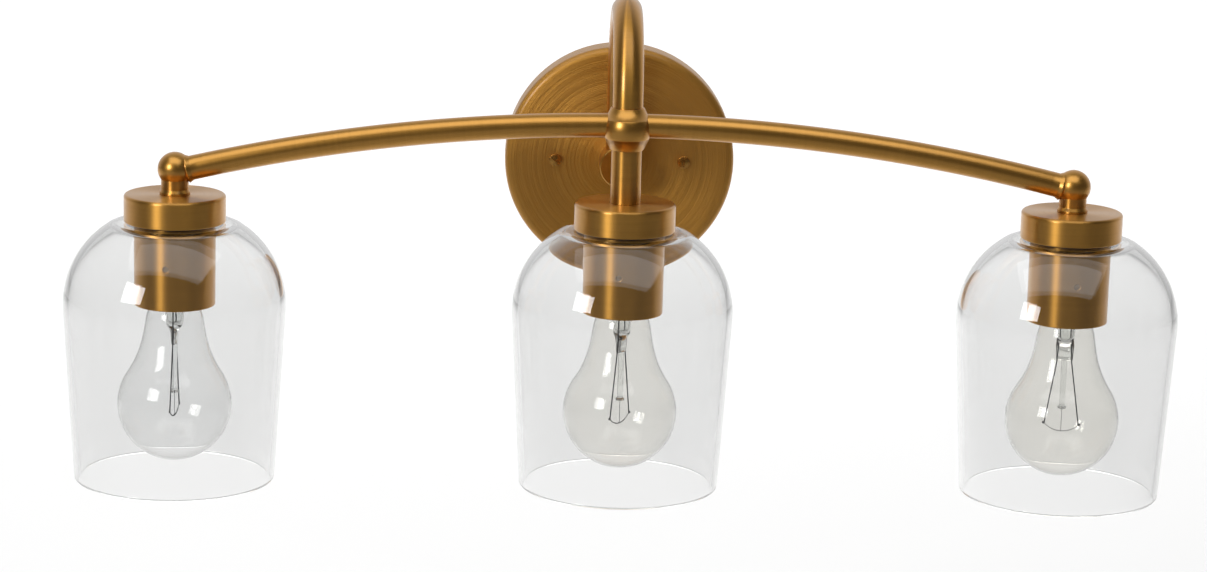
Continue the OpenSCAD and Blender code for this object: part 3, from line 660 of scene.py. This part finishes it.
def slotted_head(name, place, angle, radius, rise, slot_half, slot_deep):
    """A shallow round head with a straight slot. A point of the head is (u, v) across
    and along the slot, with v up to sqrt(radius^2 - u^2), and its height is the dome's,
    (rise - 0.5 (u^2 + v^2) / radius^2), less the slot's depth where |u| is small."""
    u = np.concatenate([
        [-1.0, -0.985, -0.93, -0.8, -0.6, -0.4],
        [-slot_half / radius - 0.02, -slot_half / radius, -slot_half / radius],
        [0.0],
    ]) * radius
    u = np.concatenate([u, -u[-2::-1]])
    cut = np.zeros(len(u))
    middle = len(u) // 2
    cut[middle - 1: middle + 2] = slot_deep
    v = np.linspace(-1, 1, 21)
    chord = np.sqrt(np.maximum(radius**2 - u**2, 1e-4))
    across = np.repeat(u[:, None], len(v) + 4, 1)
    along = np.concatenate([[-1, -1, ], v, [1, 1]])[None] * chord[:, None]
    edge = np.concatenate([[0, 0.75], np.ones(len(v)), [0.75, 0]])
    inset = np.concatenate([[0, 0], np.where(np.abs(v) == 1, 0.05, 0), [0, 0]])
    along = along * (1 - inset[None])
    dome = rise - 0.5 * (across**2 + along**2) / radius**2
    height = np.minimum(edge[None] * rise, dome) * (edge[None] > 0)
    height = np.where(edge[None] == 1, height - cut[:, None], np.minimum(height, (
        rise - 0.5 - cut[:, None])))
    height = np.where(edge[None] == 0, 0, height)
    c, s = math.cos(angle), math.sin(angle)
    x = place[0] + along * c - across * s
    z = place[2] + along * s + across * c
    y = place[1] - height
    grid = np.stack([x, y, z], 2)
    return skin(name, grid, screw_brass, closed=False, grain=across)


def screw_thread(s, radius, a):
    """A right-hand V thread of 0.8 mm pitch below the head."""
    wave = np.abs(((s / 0.8 + a / (2 * np.pi)) % 1) - 0.5) * 2
    return radius - 0.35 * wave * (radius > 2.0) * (s < -2)


screw_brass = satin_brass("screw_satin_brass", 0.2, 0.14)
shank_outline = soften(
    [[0.2, 0], [0.2, 2.05], [-19.6, 2.05], [-19.8, 0]], [0.1, 0.1, 0.4, 0.1],
    closed=False,
)
for side, x, slot_turn in (("left", -34.925, -28), ("right", 34.925, 85)):
    screw = slotted_head(
        "canopy_screw_" + side, (x, canopy_front, 0), math.radians(slot_turn), 3.4,
        2.3, 0.55, 1.1
    )
    shank = round_piece(
        "canopy_screw_shank_" + side, fill_in(shank_outline, 0.2, closed=False),
        straight((x, canopy_front, 0), (0, -1, 0)), plain_brass, closed=False,
        sides=32, ripple=screw_thread
    )
    for piece in (screw, shank):
        stand_in(piece, "fixture", "canopy_screws")

# ----------------------------------------
# Arm boss. A turned brass block pulled onto the canopy by a threaded nipple.
# Its front rim has a narrow bright bevel.

boss_low, boss_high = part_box("arm_boss")
boss_radius = (boss_high.x - boss_low.x) / 2 / MM
boss_length = canopy_front - boss_low.y / MM
boss_outline = soften(
    [[0.02, canopy_bore], [0.02, boss_radius], [boss_length - 0.6, boss_radius],
    [boss_length, boss_radius - 0.6], [boss_length, 0]], [0.1, 0.2, 0.15, 0.15, 0.1],
    closed=False
)
boss_outline = np.concatenate([[[0.02, 0]], boss_outline])
boss = round_piece(
    "arm_boss_block", boss_outline, straight((0, canopy_front, 0), (0, -1, 0)),
    tube_brass, closed=False
)
stand_in(boss, "fixture", "arm_boss")

# ----------------------------------------
# Gooseneck. One brass tube bent into a half circle between two straight legs.
# It stands in the boss behind and comes down into the hub in front.

leg_bottom = arm_low.z / MM
rear_leg = spring_height - leg_bottom
front_leg = spring_height - (hub_centre + 6.5)
arch_length = math.pi * arch_radius


def gooseneck(s):
    """The tube's centre line by distance s from its foot: up the rear leg, round the
    half circle at angle (s - rear leg) / radius, and down the front leg."""
    turned = np.clip((s - rear_leg) / arch_radius, 0, np.pi)
    y = arm_rear - arch_radius + arch_radius * np.cos(turned)
    z = spring_height + arch_radius * np.sin(turned)
    z = z - np.maximum(rear_leg - s, 0) - np.maximum(s - rear_leg - arch_length, 0)
    nothing = np.zeros(len(s))
    outward = np.stack([nothing, np.cos(turned), np.sin(turned)], 1)
    sideways = np.broadcast_to([1.0, 0, 0], (len(s), 3))
    return np.stack([nothing, y, z], 1), sideways, outward


tube_length = rear_leg + arch_length + front_leg
tube_outline = soften(
    [[0, arm_radius], [tube_length, arm_radius], [tube_length, arm_bore],
    [0, arm_bore]], [0.25] * 4
)
gooseneck_piece = round_piece(
    "gooseneck", fill_in(tube_outline, 2.0), gooseneck, turned_brass, sides=72
)
stand_in(gooseneck_piece, "fixture", "gooseneck_tube")

# ----------------------------------------
# Hub and stem. The hub is a brass ball with a short cone and a flat seat above
# and below, where the gooseneck and the stem are brazed in.

hub_radius, seat_radius, cone_top = 12.7, 8.75, 11.05
polar = np.linspace(math.asin(5.2 / hub_radius), -math.asin(5.2 / hub_radius), 33)
ball_arc = np.stack([hub_radius * np.sin(polar), hub_radius * np.cos(polar)], 1)
hub_outline = np.concatenate(
    [soften([[6.6, 7.6], [cone_top, 7.6], [cone_top, seat_radius],
    [5.2, 0.912 * hub_radius]], [0.1, 0.1, 0.35, 0.1], closed=False), ball_arc,
    soften([[-5.2, 0.912 * hub_radius], [-cone_top, seat_radius], [-cone_top, 7.6],
    [-6.6, 7.6]], [0.1, 0.35, 0.1, 0.1], closed=False)]
)
hub = round_piece("hub", hub_outline, straight((0, arm_front, hub_centre)), tube_brass)
stand_in(hub, "fixture", "hub_ball")

stem_low, stem_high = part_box("stem_tube")
stem_length = (stem_high.z - stem_low.z) / MM
nipple_hole = 4.95
stem_outline = soften(
    [[0.03, arm_radius], [stem_length, arm_radius], [stem_length, nipple_hole],
    [0.03, nipple_hole]], [0.2] * 4
)
stem = round_piece(
    "stem", stem_outline, straight((0, arm_front, stem_low.z / MM)), turned_brass,
    sides=72
)
stand_in(stem, "fixture", "stem_tube")

# ----------------------------------------
# Cross bar. Two thin brass tubes on one gentle curve, brazed into the hub and
# into the ball at each end, with a small fillet of braze outside each ball.


def bar_line(way):
    """The bar's centre line by distance s from the middle, towards way x: a circle of
    the bar's radius below it, at angle s / radius from its top."""

    def line(s):
        a = s / bar_radius
        x, z = way * bar_radius * np.sin(a), bar_middle + bar_radius * np.cos(a)
        outward = np.stack([way * np.sin(a), np.zeros(len(s)), np.cos(a)], 1)
        level = np.broadcast_to([0, 1.0, 0], (len(s), 3))
        return np.stack([x, np.full(len(s), arm_front), z], 1), level, outward

    return line


ball_low, ball_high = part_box("end_ball_right")
ball_radius = (ball_high.y - ball_low.y) / 2 / MM
ball_height = ball_high.z / MM - ball_radius
lamp_spacing = lamp_axis["right"][0]
bar_tube, bar_bore = 6.35, 5.35
bar_end = bar_radius * math.asin((lamp_spacing - 5.49) / bar_radius)
braze = bar_radius * math.asin((lamp_spacing - 6.4) / bar_radius)
flare = np.linspace(0, np.pi / 2, 7)
fillet = np.stack(
    [braze - 2.2 * np.cos(flare), bar_tube + 1.1 * (1 - np.sin(np.pi / 2 - flare))], 1
)
bar_outline = np.concatenate(
    [[[8.35, bar_bore], [8.35, 6.25], [8.45, bar_tube], [10, bar_tube]], fillet,
    [[bar_end, bar_tube], [bar_end, bar_bore]]]
)
for side, way in (("left", -1), ("right", 1)):
    bar = round_piece(
        "cross_bar_" + side, fill_in(bar_outline, 4.0), bar_line(way), tube_brass,
        sides=72
    )
    stand_in(bar, "fixture", "bar_" + side)

    polar = np.linspace(-np.pi / 2, np.pi / 2, 49)
    sphere = ball_radius * np.stack([np.sin(polar), np.cos(polar)], 1)
    sphere[[0, -1], 1] = 0
    ball = round_piece(
        "end_ball_piece_" + side, sphere,
        straight((way * lamp_spacing, arm_front, ball_height)), tube_brass,
        closed=False
    )
    stand_in(ball, "fixture", "end_ball_" + side)

# Neck collars: short flared rings that space the balls off their caps.
cap_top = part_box("neck_collars")[0].z / MM
collar_outline = soften(
    [[0.03, 8.0], [1.2, 8.0], [2.8, 7.2], [8.6, 7.2], [8.6, nipple_hole],
    [0.03, nipple_hole]], [0.25, 0.5, 1.0, 0.3, 0.1, 0.1]
)
collars = round_piece(
    "collars", collar_outline, straight((0, arm_front, cap_top)), turned_brass,
    sides=72, copies=[(-lamp_spacing, 0, 0), (lamp_spacing, 0, 0)]
)
stand_in(collars, "fixture", "neck_collars")

# ----------------------------------------
# Caps. Turned brass cups, clamped up against a collar or the stem by a nut on
# the lamp's threaded nipple. Their edges are softly rounded.

cap_radius, cap_height, cap_wall = 26.5, 14.3, 1.5
cap_outline = soften(
    [[0, cap_radius], [cap_height, cap_radius], [cap_height, nipple_hole],
    [cap_height - cap_wall, nipple_hole],
    [cap_height - cap_wall, cap_radius - cap_wall], [0, cap_radius - cap_wall]],
    [0.6, 1.6, 0.1, 0.1, 0.5, 0.3], steps=8
)
for side in SIDES:
    cap = round_piece(
        "cap_cup_" + side, cap_outline, straight(lamp_axis[side]), turned_brass,
        sides=128
    )
    stand_in(cap, "fixture", "cap_" + side)

# ----------------------------------------
# Lampholders. Black moulded bodies with a thread outside for the sleeve, and a
# thin brass screw shell inside, rolled with the bulb's own thread.

sleeve_pitch, bulb_pitch = 1.5, 25.4 / 7
black_phenolic = clouded(
    "black_phenolic", (0.012, 0.011, 0.010), (0.035, 0.031, 0.028), 180.0, 0.36, 0.16,
    3.0, grit=900.0, depth=0.00003,
)


def helix(pitch, depth, low, high, inner, outer):
    """A right-hand thread: between low and high, where the radius lies from inner to
    outer, it changes by depth times a rounded wave of s / pitch - a / (2 pi)."""

    def ripple(s, radius, a):
        wave = np.cos(2 * np.pi * s / pitch - a)
        fade = np.clip((s - low) / pitch, 0, 1) * np.clip((high - s) / pitch, 0, 1)
        return radius + depth * wave * fade * (radius > inner) * (radius < outer)

    return ripple


holder_outline = soften(
    [[-38.8, 14.15], [-38.8, 16.35], [0, 16.35], [0, 24.95], [3, 24.95], [3, 8],
    [9.3, 8], [9.3, nipple_hole], [0.8, nipple_hole], [0.8, 12.6], [-8.7, 12.6],
    [-8.7, 1.55], [-12.66, 1.55], [-12.66, 14.15]], [0.4, 0.4, 0.1, 0.3, 0.5, 0.3, 0.3,
    0.1, 0.2, 0.3, 0.3, 0.1, 0.1, 0.3]
)
shell_brass = plated("shell_brass", (0.56, 0.37, 0.14), (0.74, 0.51, 0.22), 0.24)
repaint("contact_tabs", shell_brass)
for side in SIDES:
    holder = round_piece(
        "holder_body_" + side, fill_in(holder_outline, 0.3), straight(lamp_axis[side]),
        black_phenolic, ripple=helix(sleeve_pitch, 0.22, -20, -3.9, 16.2, 16.5)
    )
    stand_in(holder, "fixture", "lampholder_" + side)
middle_lamp = (0, arm_front, lamp_axis["centre"][2])
lamp_row = [(lamp_axis[side][0], 0, 0) for side in SIDES]
shell_outline = soften(
    [[-36.8, 13.25], [-36.8, 13.6], [-12.75, 13.6], [-12.75, 6.5], [-13.15, 6.5],
    [-13.15, 13.25]], [0.1, 0.1, 0.8, 0.1, 0.1, 0.4]
)
shells = round_piece(
    "threaded_shells", fill_in(shell_outline, 0.35), straight(middle_lamp),
    shell_brass, sides=72, ripple=helix(bulb_pitch, 0.38, -37.5, -13.5, 13.0, 13.8),
    copies=lamp_row
)
stand_in(shells, "fixture", "screw_shells")

# ----------------------------------------
# Gaskets and shades. A black rubber ring seats each clear blown bell, which has
# a flat crown, a round shoulder, sides that lean in and a fire-polished rim.

gasket_rubber = clouded(
    "gasket_rubber", (0.010, 0.010, 0.010), (0.028, 0.028, 0.027), 700.0, 0.6, 0.2,
    grit=700.0, depth=0.00004,
)
gasket_outline = soften(
    [[-0.76, 16.7], [-0.76, 24.5], [-0.03, 24.5], [-0.03, 16.7]], [0.2] * 4
)
gaskets = round_piece(
    "gasket_rings", gasket_outline, straight(middle_lamp), gasket_rubber,
    copies=lamp_row
)
stand_in(gaskets, "fixture", "gaskets")


def clear_glass(name, tint, lamp_tint, waves, size, stretch=1.0):
    """Clear glass. Camera rays bend through it, and light from lamps and reflections
    passes straight on, a little dimmed, as thin walls nearly let it. Slow noise tilts
    the surface slightly, as blown glass does."""
    glass = Finish(name)
    place = glass.object_place()
    flow = glass.vector("MULTIPLY", place, (1.0, 1.0, stretch))
    wave = glass.noise(flow, size, 1.0)
    solid = glass.add(
        "ShaderNodeBsdfPrincipled",
        None,
        {
            "Base Color": tint + (1,),
            "Roughness": 0.0,
            "IOR": 1.5,
            "Transmission Weight": 1.0,
            "Normal": glass.bump(wave, waves),
        },
    )
    passing = glass.add("ShaderNodeBsdfTransparent", None, {"Color": lamp_tint + (1,)})

    def choose(way, otherwise, chosen):
        """The chosen shader for rays of one kind, and otherwise the other one."""
        path = glass.tree.nodes.new("ShaderNodeLightPath")
        kind = Value(glass, path.outputs[way])
        return glass.add(
            "ShaderNodeMixShader", None, {0: kind, 1: otherwise, 2: chosen}
        )

    # A refracted ray counts as glossy too, and has to leave the wall as it came in.
    shader = choose("Is Transmission Ray", passing, solid)
    shader = choose("Is Glossy Ray", solid, shader)
    shader = choose("Is Diffuse Ray", shader, passing)
    shader = choose("Is Shadow Ray", shader, passing)
    return glass.surface(shader)


rim_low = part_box("shade_centre")[0].z / MM
seat = lamp_axis["centre"][2]
glass_top, shade_wall = -0.8, 3.0
shade_out, shoulder_radius = 49.7, 58.03 - 49.7
taper, crown_turn, crown_radius = math.radians(3.47), math.radians(32.64), 9.4
crown_middle = shoulder_radius + (shade_out - crown_radius) * math.sin(crown_turn)
shoulder_height = (
    glass_top - crown_radius - (shade_out - crown_radius) * math.cos(crown_turn)
)
rim_half = shade_wall / 2
shade_run = (
    shoulder_height
    - shade_out * math.sin(taper)
    - (rim_low - seat)
    - rim_half
) / math.cos(taper)


def arc(middle, radius, start, end, steps):
    """Points (height, radius) of an arc about middle = (radius, height), from start to
    end, both measured from straight up towards the outside."""
    a = np.linspace(start, end, steps)
    return np.stack([middle[1] + radius * np.cos(a), middle[0] + radius * np.sin(a)], 1)


def bell_side(inset):
    """One face of the bell's wall, inset from the outside: the flat crown, the crown's
    arc, the shoulder's arc and the leaning side."""
    crown = arc((crown_middle, glass_top - crown_radius), crown_radius - inset, 0,
                crown_turn, 12)
    shoulder = arc((shoulder_radius, shoulder_height), shade_out - inset, crown_turn,
                   np.pi / 2 + taper, 48)
    share = np.linspace(0, 1, 24)[1:, None]
    lean = np.array([[-math.cos(taper), -math.sin(taper)]]) * shade_run
    return np.concatenate([crown, shoulder[1:], shoulder[-1:] + share * lean])


rim_middle = bell_side(rim_half)[-1]
rim_way = np.linspace(0, np.pi, 15)[1:-1, None]
rim = rim_middle + rim_half * (
    np.cos(rim_way) * [[-math.sin(taper), math.cos(taper)]]
    + np.sin(rim_way) * [[-math.cos(taper), -math.sin(taper)]]
)
hole = soften(
    [[glass_top - shade_wall, 22.0], [glass_top - shade_wall, 17.25],
    [glass_top - 0.02, 17.25], [glass_top - 0.02, 22.0]], [0.1, 0.7, 0.7, 0.1],
    closed=False
)
bell_outline = np.concatenate([hole, bell_side(0), rim, bell_side(shade_wall)[::-1]])
bell_clearance = 0.012
# A hair smaller all round, so that no bell stands outside the designed part.
bell_outline[:, 1] -= bell_clearance
shade_glass = clear_glass(
    "clear_shade_glass", (0.925, 0.927, 0.925), (0.93, 0.93, 0.93), 0.00035, 26.0, 0.35
)
for side in SIDES:
    bell = round_piece(
        "bell_" + side, bell_outline, straight(lamp_axis[side]), shade_glass, sides=192
    )
    stand_in(bell, side + "_shade", "shade_" + side)

# ----------------------------------------
# Sleeves. A brass skirt with a threaded ring inside its top, screwed up the
# lampholder to clamp the shade. A grub screw sits in a small dimple in front.

sleeve_radius, sleeve_top, sleeve_length = 21.1, -3.82, 40.28
sleeve_low = sleeve_top - sleeve_length
dimple_height = sleeve_low + 22.2
sleeve_outline = fill_in(
    soften([[sleeve_low, sleeve_radius - 1.5], [sleeve_low, sleeve_radius],
    [sleeve_top, sleeve_radius], [sleeve_top, 16.72], [sleeve_low + 31.3, 16.72],
    [sleeve_low + 31.3, sleeve_radius - 1.5]], [0.4, 0.5, 0.4, 0.3, 0.4, 0.4]), 0.3
)
grub_brass = plated("grub_screw_brass", (0.42, 0.26, 0.09), (0.60, 0.40, 0.16), 0.3)
for side, turn_degrees in (("left", -8), ("centre", -8), ("right", 4)):
    front_angle = math.radians(-90 + turn_degrees)
    spread = np.linspace(-1, 1, 161)
    angles = front_angle + np.pi * np.sign(spread) * np.abs(spread) ** 2.2
    angles = angles[:-1]
    thread = helix(sleeve_pitch, 0.22, -13, -4.0, 16.5, 16.9)

    def dimpled(s, radius, a, front=front_angle, thread=thread):
        """The ring's thread inside, and outside a dimple: the radius drops by 1.1 mm
        inside 1.6 mm of the grub screw's axis, over a 0.3 mm slope."""
        across = sleeve_radius * np.sin(a - front)
        away = np.sqrt(across**2 + (s - dimple_height) ** 2)
        near = np.clip((1.6 - away) / 0.3, 0, 1) * (np.cos(a - front) > 0)
        sunk = 1.1 * near * near * (3 - 2 * near) * (radius > sleeve_radius - 0.3)
        return thread(s, radius, a) - sunk

    sleeve = round_piece(
        "sleeve_skirt_" + side, sleeve_outline, straight(lamp_axis[side]),
        turned_brass, angles=angles, ripple=dimpled
    )
    stand_in(sleeve, side + "_sleeve", "sleeve_" + side)
    repaint("set_screw_" + side, grub_brass)

# ----------------------------------------
# Bulbs. Each has a soldered contact, a black glass insulator, a rolled metal
# screw base, a clear blown bulb, and a glass mount with its wires and filament.

solder = plated("tin_solder", (0.42, 0.42, 0.41), (0.66, 0.66, 0.64), 0.38)
base_metal = plated("rolled_aluminium", (0.62, 0.62, 0.61), (0.80, 0.80, 0.79), 0.26)
black_insulator = clouded(
    "black_insulator", (0.006, 0.006, 0.009), (0.02, 0.02, 0.026), 260.0, 0.1, 0.12
)
lead_wire = clouded(
    "lead_wire", (0.035, 0.035, 0.038), (0.10, 0.10, 0.105), 800.0, 0.4, 0.2,
    metallic=0.6,
)
contact_z, bulb_radius, bulb_wall = -17.1, 30.0, 0.7
bulb_middle = contact_z - 110.1 + bulb_radius
base_top, base_low, base_radius = contact_z - 5.2, contact_z - 24.3, 13.1
neck_radius, press_z = base_radius - 0.35, contact_z - 48.2
contact_outline = soften(
    [[0, 0], [0, 2.4], [-0.9, 4.5], [-1.8, 4.6], [-1.8, 0]], [0, 0.9, 0.5, 0.1, 0],
    closed=False,
)
insulator_outline = soften(
    [[-1.85, 0], [-1.85, 5.3], [-5.15, 10.15], [-5.15, 0]], [0, 0.5, 0.2, 0],
    closed=False,
)
base_outline = soften(
    [[base_low, base_radius - 0.85], [base_low, base_radius - 0.5],
    [base_top - 2.4, base_radius - 0.5], [base_top, 10.6], [base_top, 5.0],
    [base_top - 0.35, 5.0], [base_top - 0.35, 10.4],
    [base_top - 2.6, base_radius - 0.85]], [0.1, 0.1, 0.8, 0.6, 0.1, 0.1, 0.4, 0.5]
)


def bulb_outline_side(inset):
    """One face of the bulb's wall, inset from the outside. The ball runs up to 34
    degrees. From there to the neck the radius is a cubic in height t, (2t^3 - 3t^2 + 1)
    r0 + (t^3 - 2t^2 + t) s0 + (3t^2 - 2t^3) r1 + (t^3 - t^2) s1, with radii r and
    slopes s at its two ends. A short tuck then meets the straight neck."""
    r, top = bulb_radius - inset, math.radians(34)
    a = np.linspace(-np.pi / 2, top, 64)
    ball = np.stack([bulb_middle + r * np.sin(a), r * np.cos(a)], 1)
    low, high = r * math.sin(top), 46.5
    t = np.linspace(0, 1, 30)[1:]
    run = high - low
    hollow = (2 * t**3 - 3 * t**2 + 1) * r * math.cos(top)
    hollow += (t**3 - 2 * t**2 + t) * run * -math.tan(top)
    hollow += (3 * t**2 - 2 * t**3) * (15.0 - inset) + (t**3 - t**2) * run * -0.15
    flank = np.stack([bulb_middle + low + run * t, hollow], 1)
    neck = neck_radius - inset
    u = np.linspace(0, 1, 12)[1:]
    tuck = neck + (15.0 - inset - neck) * (1 - u) ** 1.6
    rise = u * (base_low + 3 - bulb_middle - high)
    tuck = np.stack([bulb_middle + high + rise, tuck], 1)
    return np.concatenate([ball, flank, tuck, [[base_low + 8, neck]]])


outer, inner_side = bulb_outline_side(0), bulb_outline_side(bulb_wall)
outer[0, 1] = inner_side[0, 1] = 0
envelope_outline = np.concatenate([outer, inner_side[::-1]])
stem_glass = clear_glass(
    "clear_stem_glass", (0.93, 0.94, 0.93), (0.9, 0.9, 0.9), 0.0004, 160.0
)


def mount_section(half_wide, half_deep, height, a):
    """A ring of the glass mount: (half_wide cos a, half_deep sin a) at height."""
    across = half_wide[:, None] * np.cos(a)
    deep = half_deep[:, None] * np.sin(a)
    return np.stack([across, deep, np.repeat(height[:, None], len(a), 1)], 2)


def spun(points, turn, axis):
    """Points turned about the vertical by turn, then moved to the lamp's axis."""
    c, s = math.cos(turn), math.sin(turn)
    spin = np.array([[c, s, 0], [-s, c, 0], [0, 0, 1]])
    return np.asarray(points, float) @ spin + np.asarray(axis, float)


filament_turns = {"left": 79, "centre": 55, "right": -14}
bulb_tints = {
    "left": (0.985, 0.987, 0.986),
    "centre": (0.985, 0.978, 0.955),
    "right": (0.985, 0.977, 0.95),
}
ring = np.linspace(0, 2 * np.pi, 48, endpoint=False)
for side in SIDES:
    axis = lamp_axis[side]
    upright = straight(axis)
    lift = np.array([0, 0, contact_z])
    contact = round_piece(
        "contact_button_" + side, contact_outline, straight(axis + lift),
        solder, closed=False, sides=48,
    )
    insulator = round_piece(
        "insulator_cone_" + side, insulator_outline,
        straight(axis + lift), black_insulator, closed=False, sides=64,
    )
    base = round_piece(
        "screw_base_" + side, fill_in(base_outline, 0.3), upright, base_metal,
        ripple=helix(bulb_pitch, 0.38, base_low + 1.0, base_top - 1.4, 12.0, 12.8),
    )
    envelope = round_piece(
        "bulb_envelope_" + side, envelope_outline, upright,
        clear_glass("clear_bulb_glass_" + side, bulb_tints[side], (0.95, 0.95, 0.94),
        0.00012, 45.0), closed=False, sides=128
    )
    turn = math.radians(filament_turns[side])
    flare_top = base_low + 6
    height = np.array([flare_top, flare_top - 1.2, flare_top - 3, flare_top - 8,
                       press_z + 11, press_z + 9.4, press_z + 8, press_z + 6,
                       press_z + 3, press_z + 0.6, press_z + 0.1, press_z])
    wide = np.array([11.9, 11.7, 8.2, 5.4, 4.6, 4.7, 4.9, 4.7, 4.5, 4.4, 4.0, 0.0])
    deep = np.array([11.9, 11.7, 8.2, 5.4, 4.6, 4.0, 2.6, 1.7, 1.5, 1.45, 1.1, 0.0])
    inside_height = np.array([press_z + 9.6, press_z + 10.6, press_z + 13,
                              flare_top - 7.4, flare_top - 2.4, flare_top - 0.4])
    inside = np.array([0.0, 2.6, 3.7, 4.4, 7.4, 11.0])
    mount_grid = np.concatenate([
        mount_section(wide, deep, height, ring)[::-1],
        mount_section(inside, inside, inside_height, ring)[::-1],
    ])
    mount_grid = spun(mount_grid, turn, axis)
    mount = skin("glass_mount_" + side, mount_grid, stem_glass, closed=False)
    rod_outline = soften(
        [[press_z + 0.3, 0], [press_z + 0.3, 1.5], [press_z - 24.6, 1.5],
         [press_z - 25.0, 2.3], [press_z - 26.2, 2.3], [press_z - 26.2, 0]],
        [0, 0.3, 0.6, 0.5, 0.5, 0], closed=False,
    )
    rod = round_piece(
        "glass_rod_" + side, fill_in(rod_outline, 2.0, closed=False), upright,
        stem_glass, closed=False, sides=32,
    )
    low, span = press_z - 34.5, 9.0
    runs = []
    for way in (-1, 1):
        run = [[way * 2.9, 0, base_low + 4], [way * 2.9, 0, press_z + 9.5],
               [way * 3.9, 0, press_z - 1], [way * span, 0, low]]
        runs.append(spun(soften(run, 4.0, closed=False, steps=6), turn, axis))
        eye = np.linspace(0, 1.6 * np.pi, 12)
        hook = np.stack([way * (span + 0.45 - 0.45 * np.cos(eye)), 0 * eye,
                         low - 0.45 * np.sin(eye)], 1)
        runs.append(spun(hook, turn, axis))
    reach_base = [[2.9, 0, base_low + 4], [0.8, 0, base_top - 1]]
    reach_neck = [[-2.9, 0, base_low + 4], [-neck_radius + 0.45, 0, base_low + 10.5]]
    runs += [spun(reach_base, turn, axis), spun(reach_neck, turn, axis)]
    leads = wire_bundle("lead_wires_" + side, runs, 0.33, lead_wire)
    support = [[0, 0, press_z - 25.5], [0, 0, low - 3.4]]
    eye = np.linspace(0, 2 * np.pi, 12)
    eye_height = low - 3.8 + 0.4 * np.cos(eye)
    support_eye = np.stack([0 * eye, 0.4 * np.sin(eye), eye_height], 1)
    supports = wire_bundle(
        "filament_support_" + side,
        [spun(support, turn, axis), spun(support_eye, turn, axis)], 0.13, lead_wire,
    )
    t = np.linspace(-1, 1, 1441)
    sag = low - 4.0 * (1 - t * t) ** 0.8
    wind = t * np.pi * 60
    coil = np.stack([span * t, 0.26 * np.cos(wind), sag + 0.26 * np.sin(wind)], 1)
    filament = wire_bundle(
        "filament_coil_" + side, [spun(coil, turn, axis)], 0.06, lead_wire, resolution=0
    )
    stand_in(contact, side + "_bulb_carrier", "bulb_contact_" + side)
    for piece, node, slot in (
        (insulator, "bulb_insulator_", "black_insulator"),
        (base, "bulb_base_", "bulb_aluminium"),
        (envelope, "bulb_glass_", "bulb_clear_glass"),
        (mount, "bulb_stem_", "stem_glass"),
        (rod, "bulb_stem_", "stem_glass"),
        (leads, "bulb_filament_", "lead_wire"),
        (supports, "bulb_filament_", "lead_wire"),
        (filament, "bulb_filament_", "lead_wire"),
    ):
        stand_in(piece, side + "_bulb", node + side)

low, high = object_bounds()
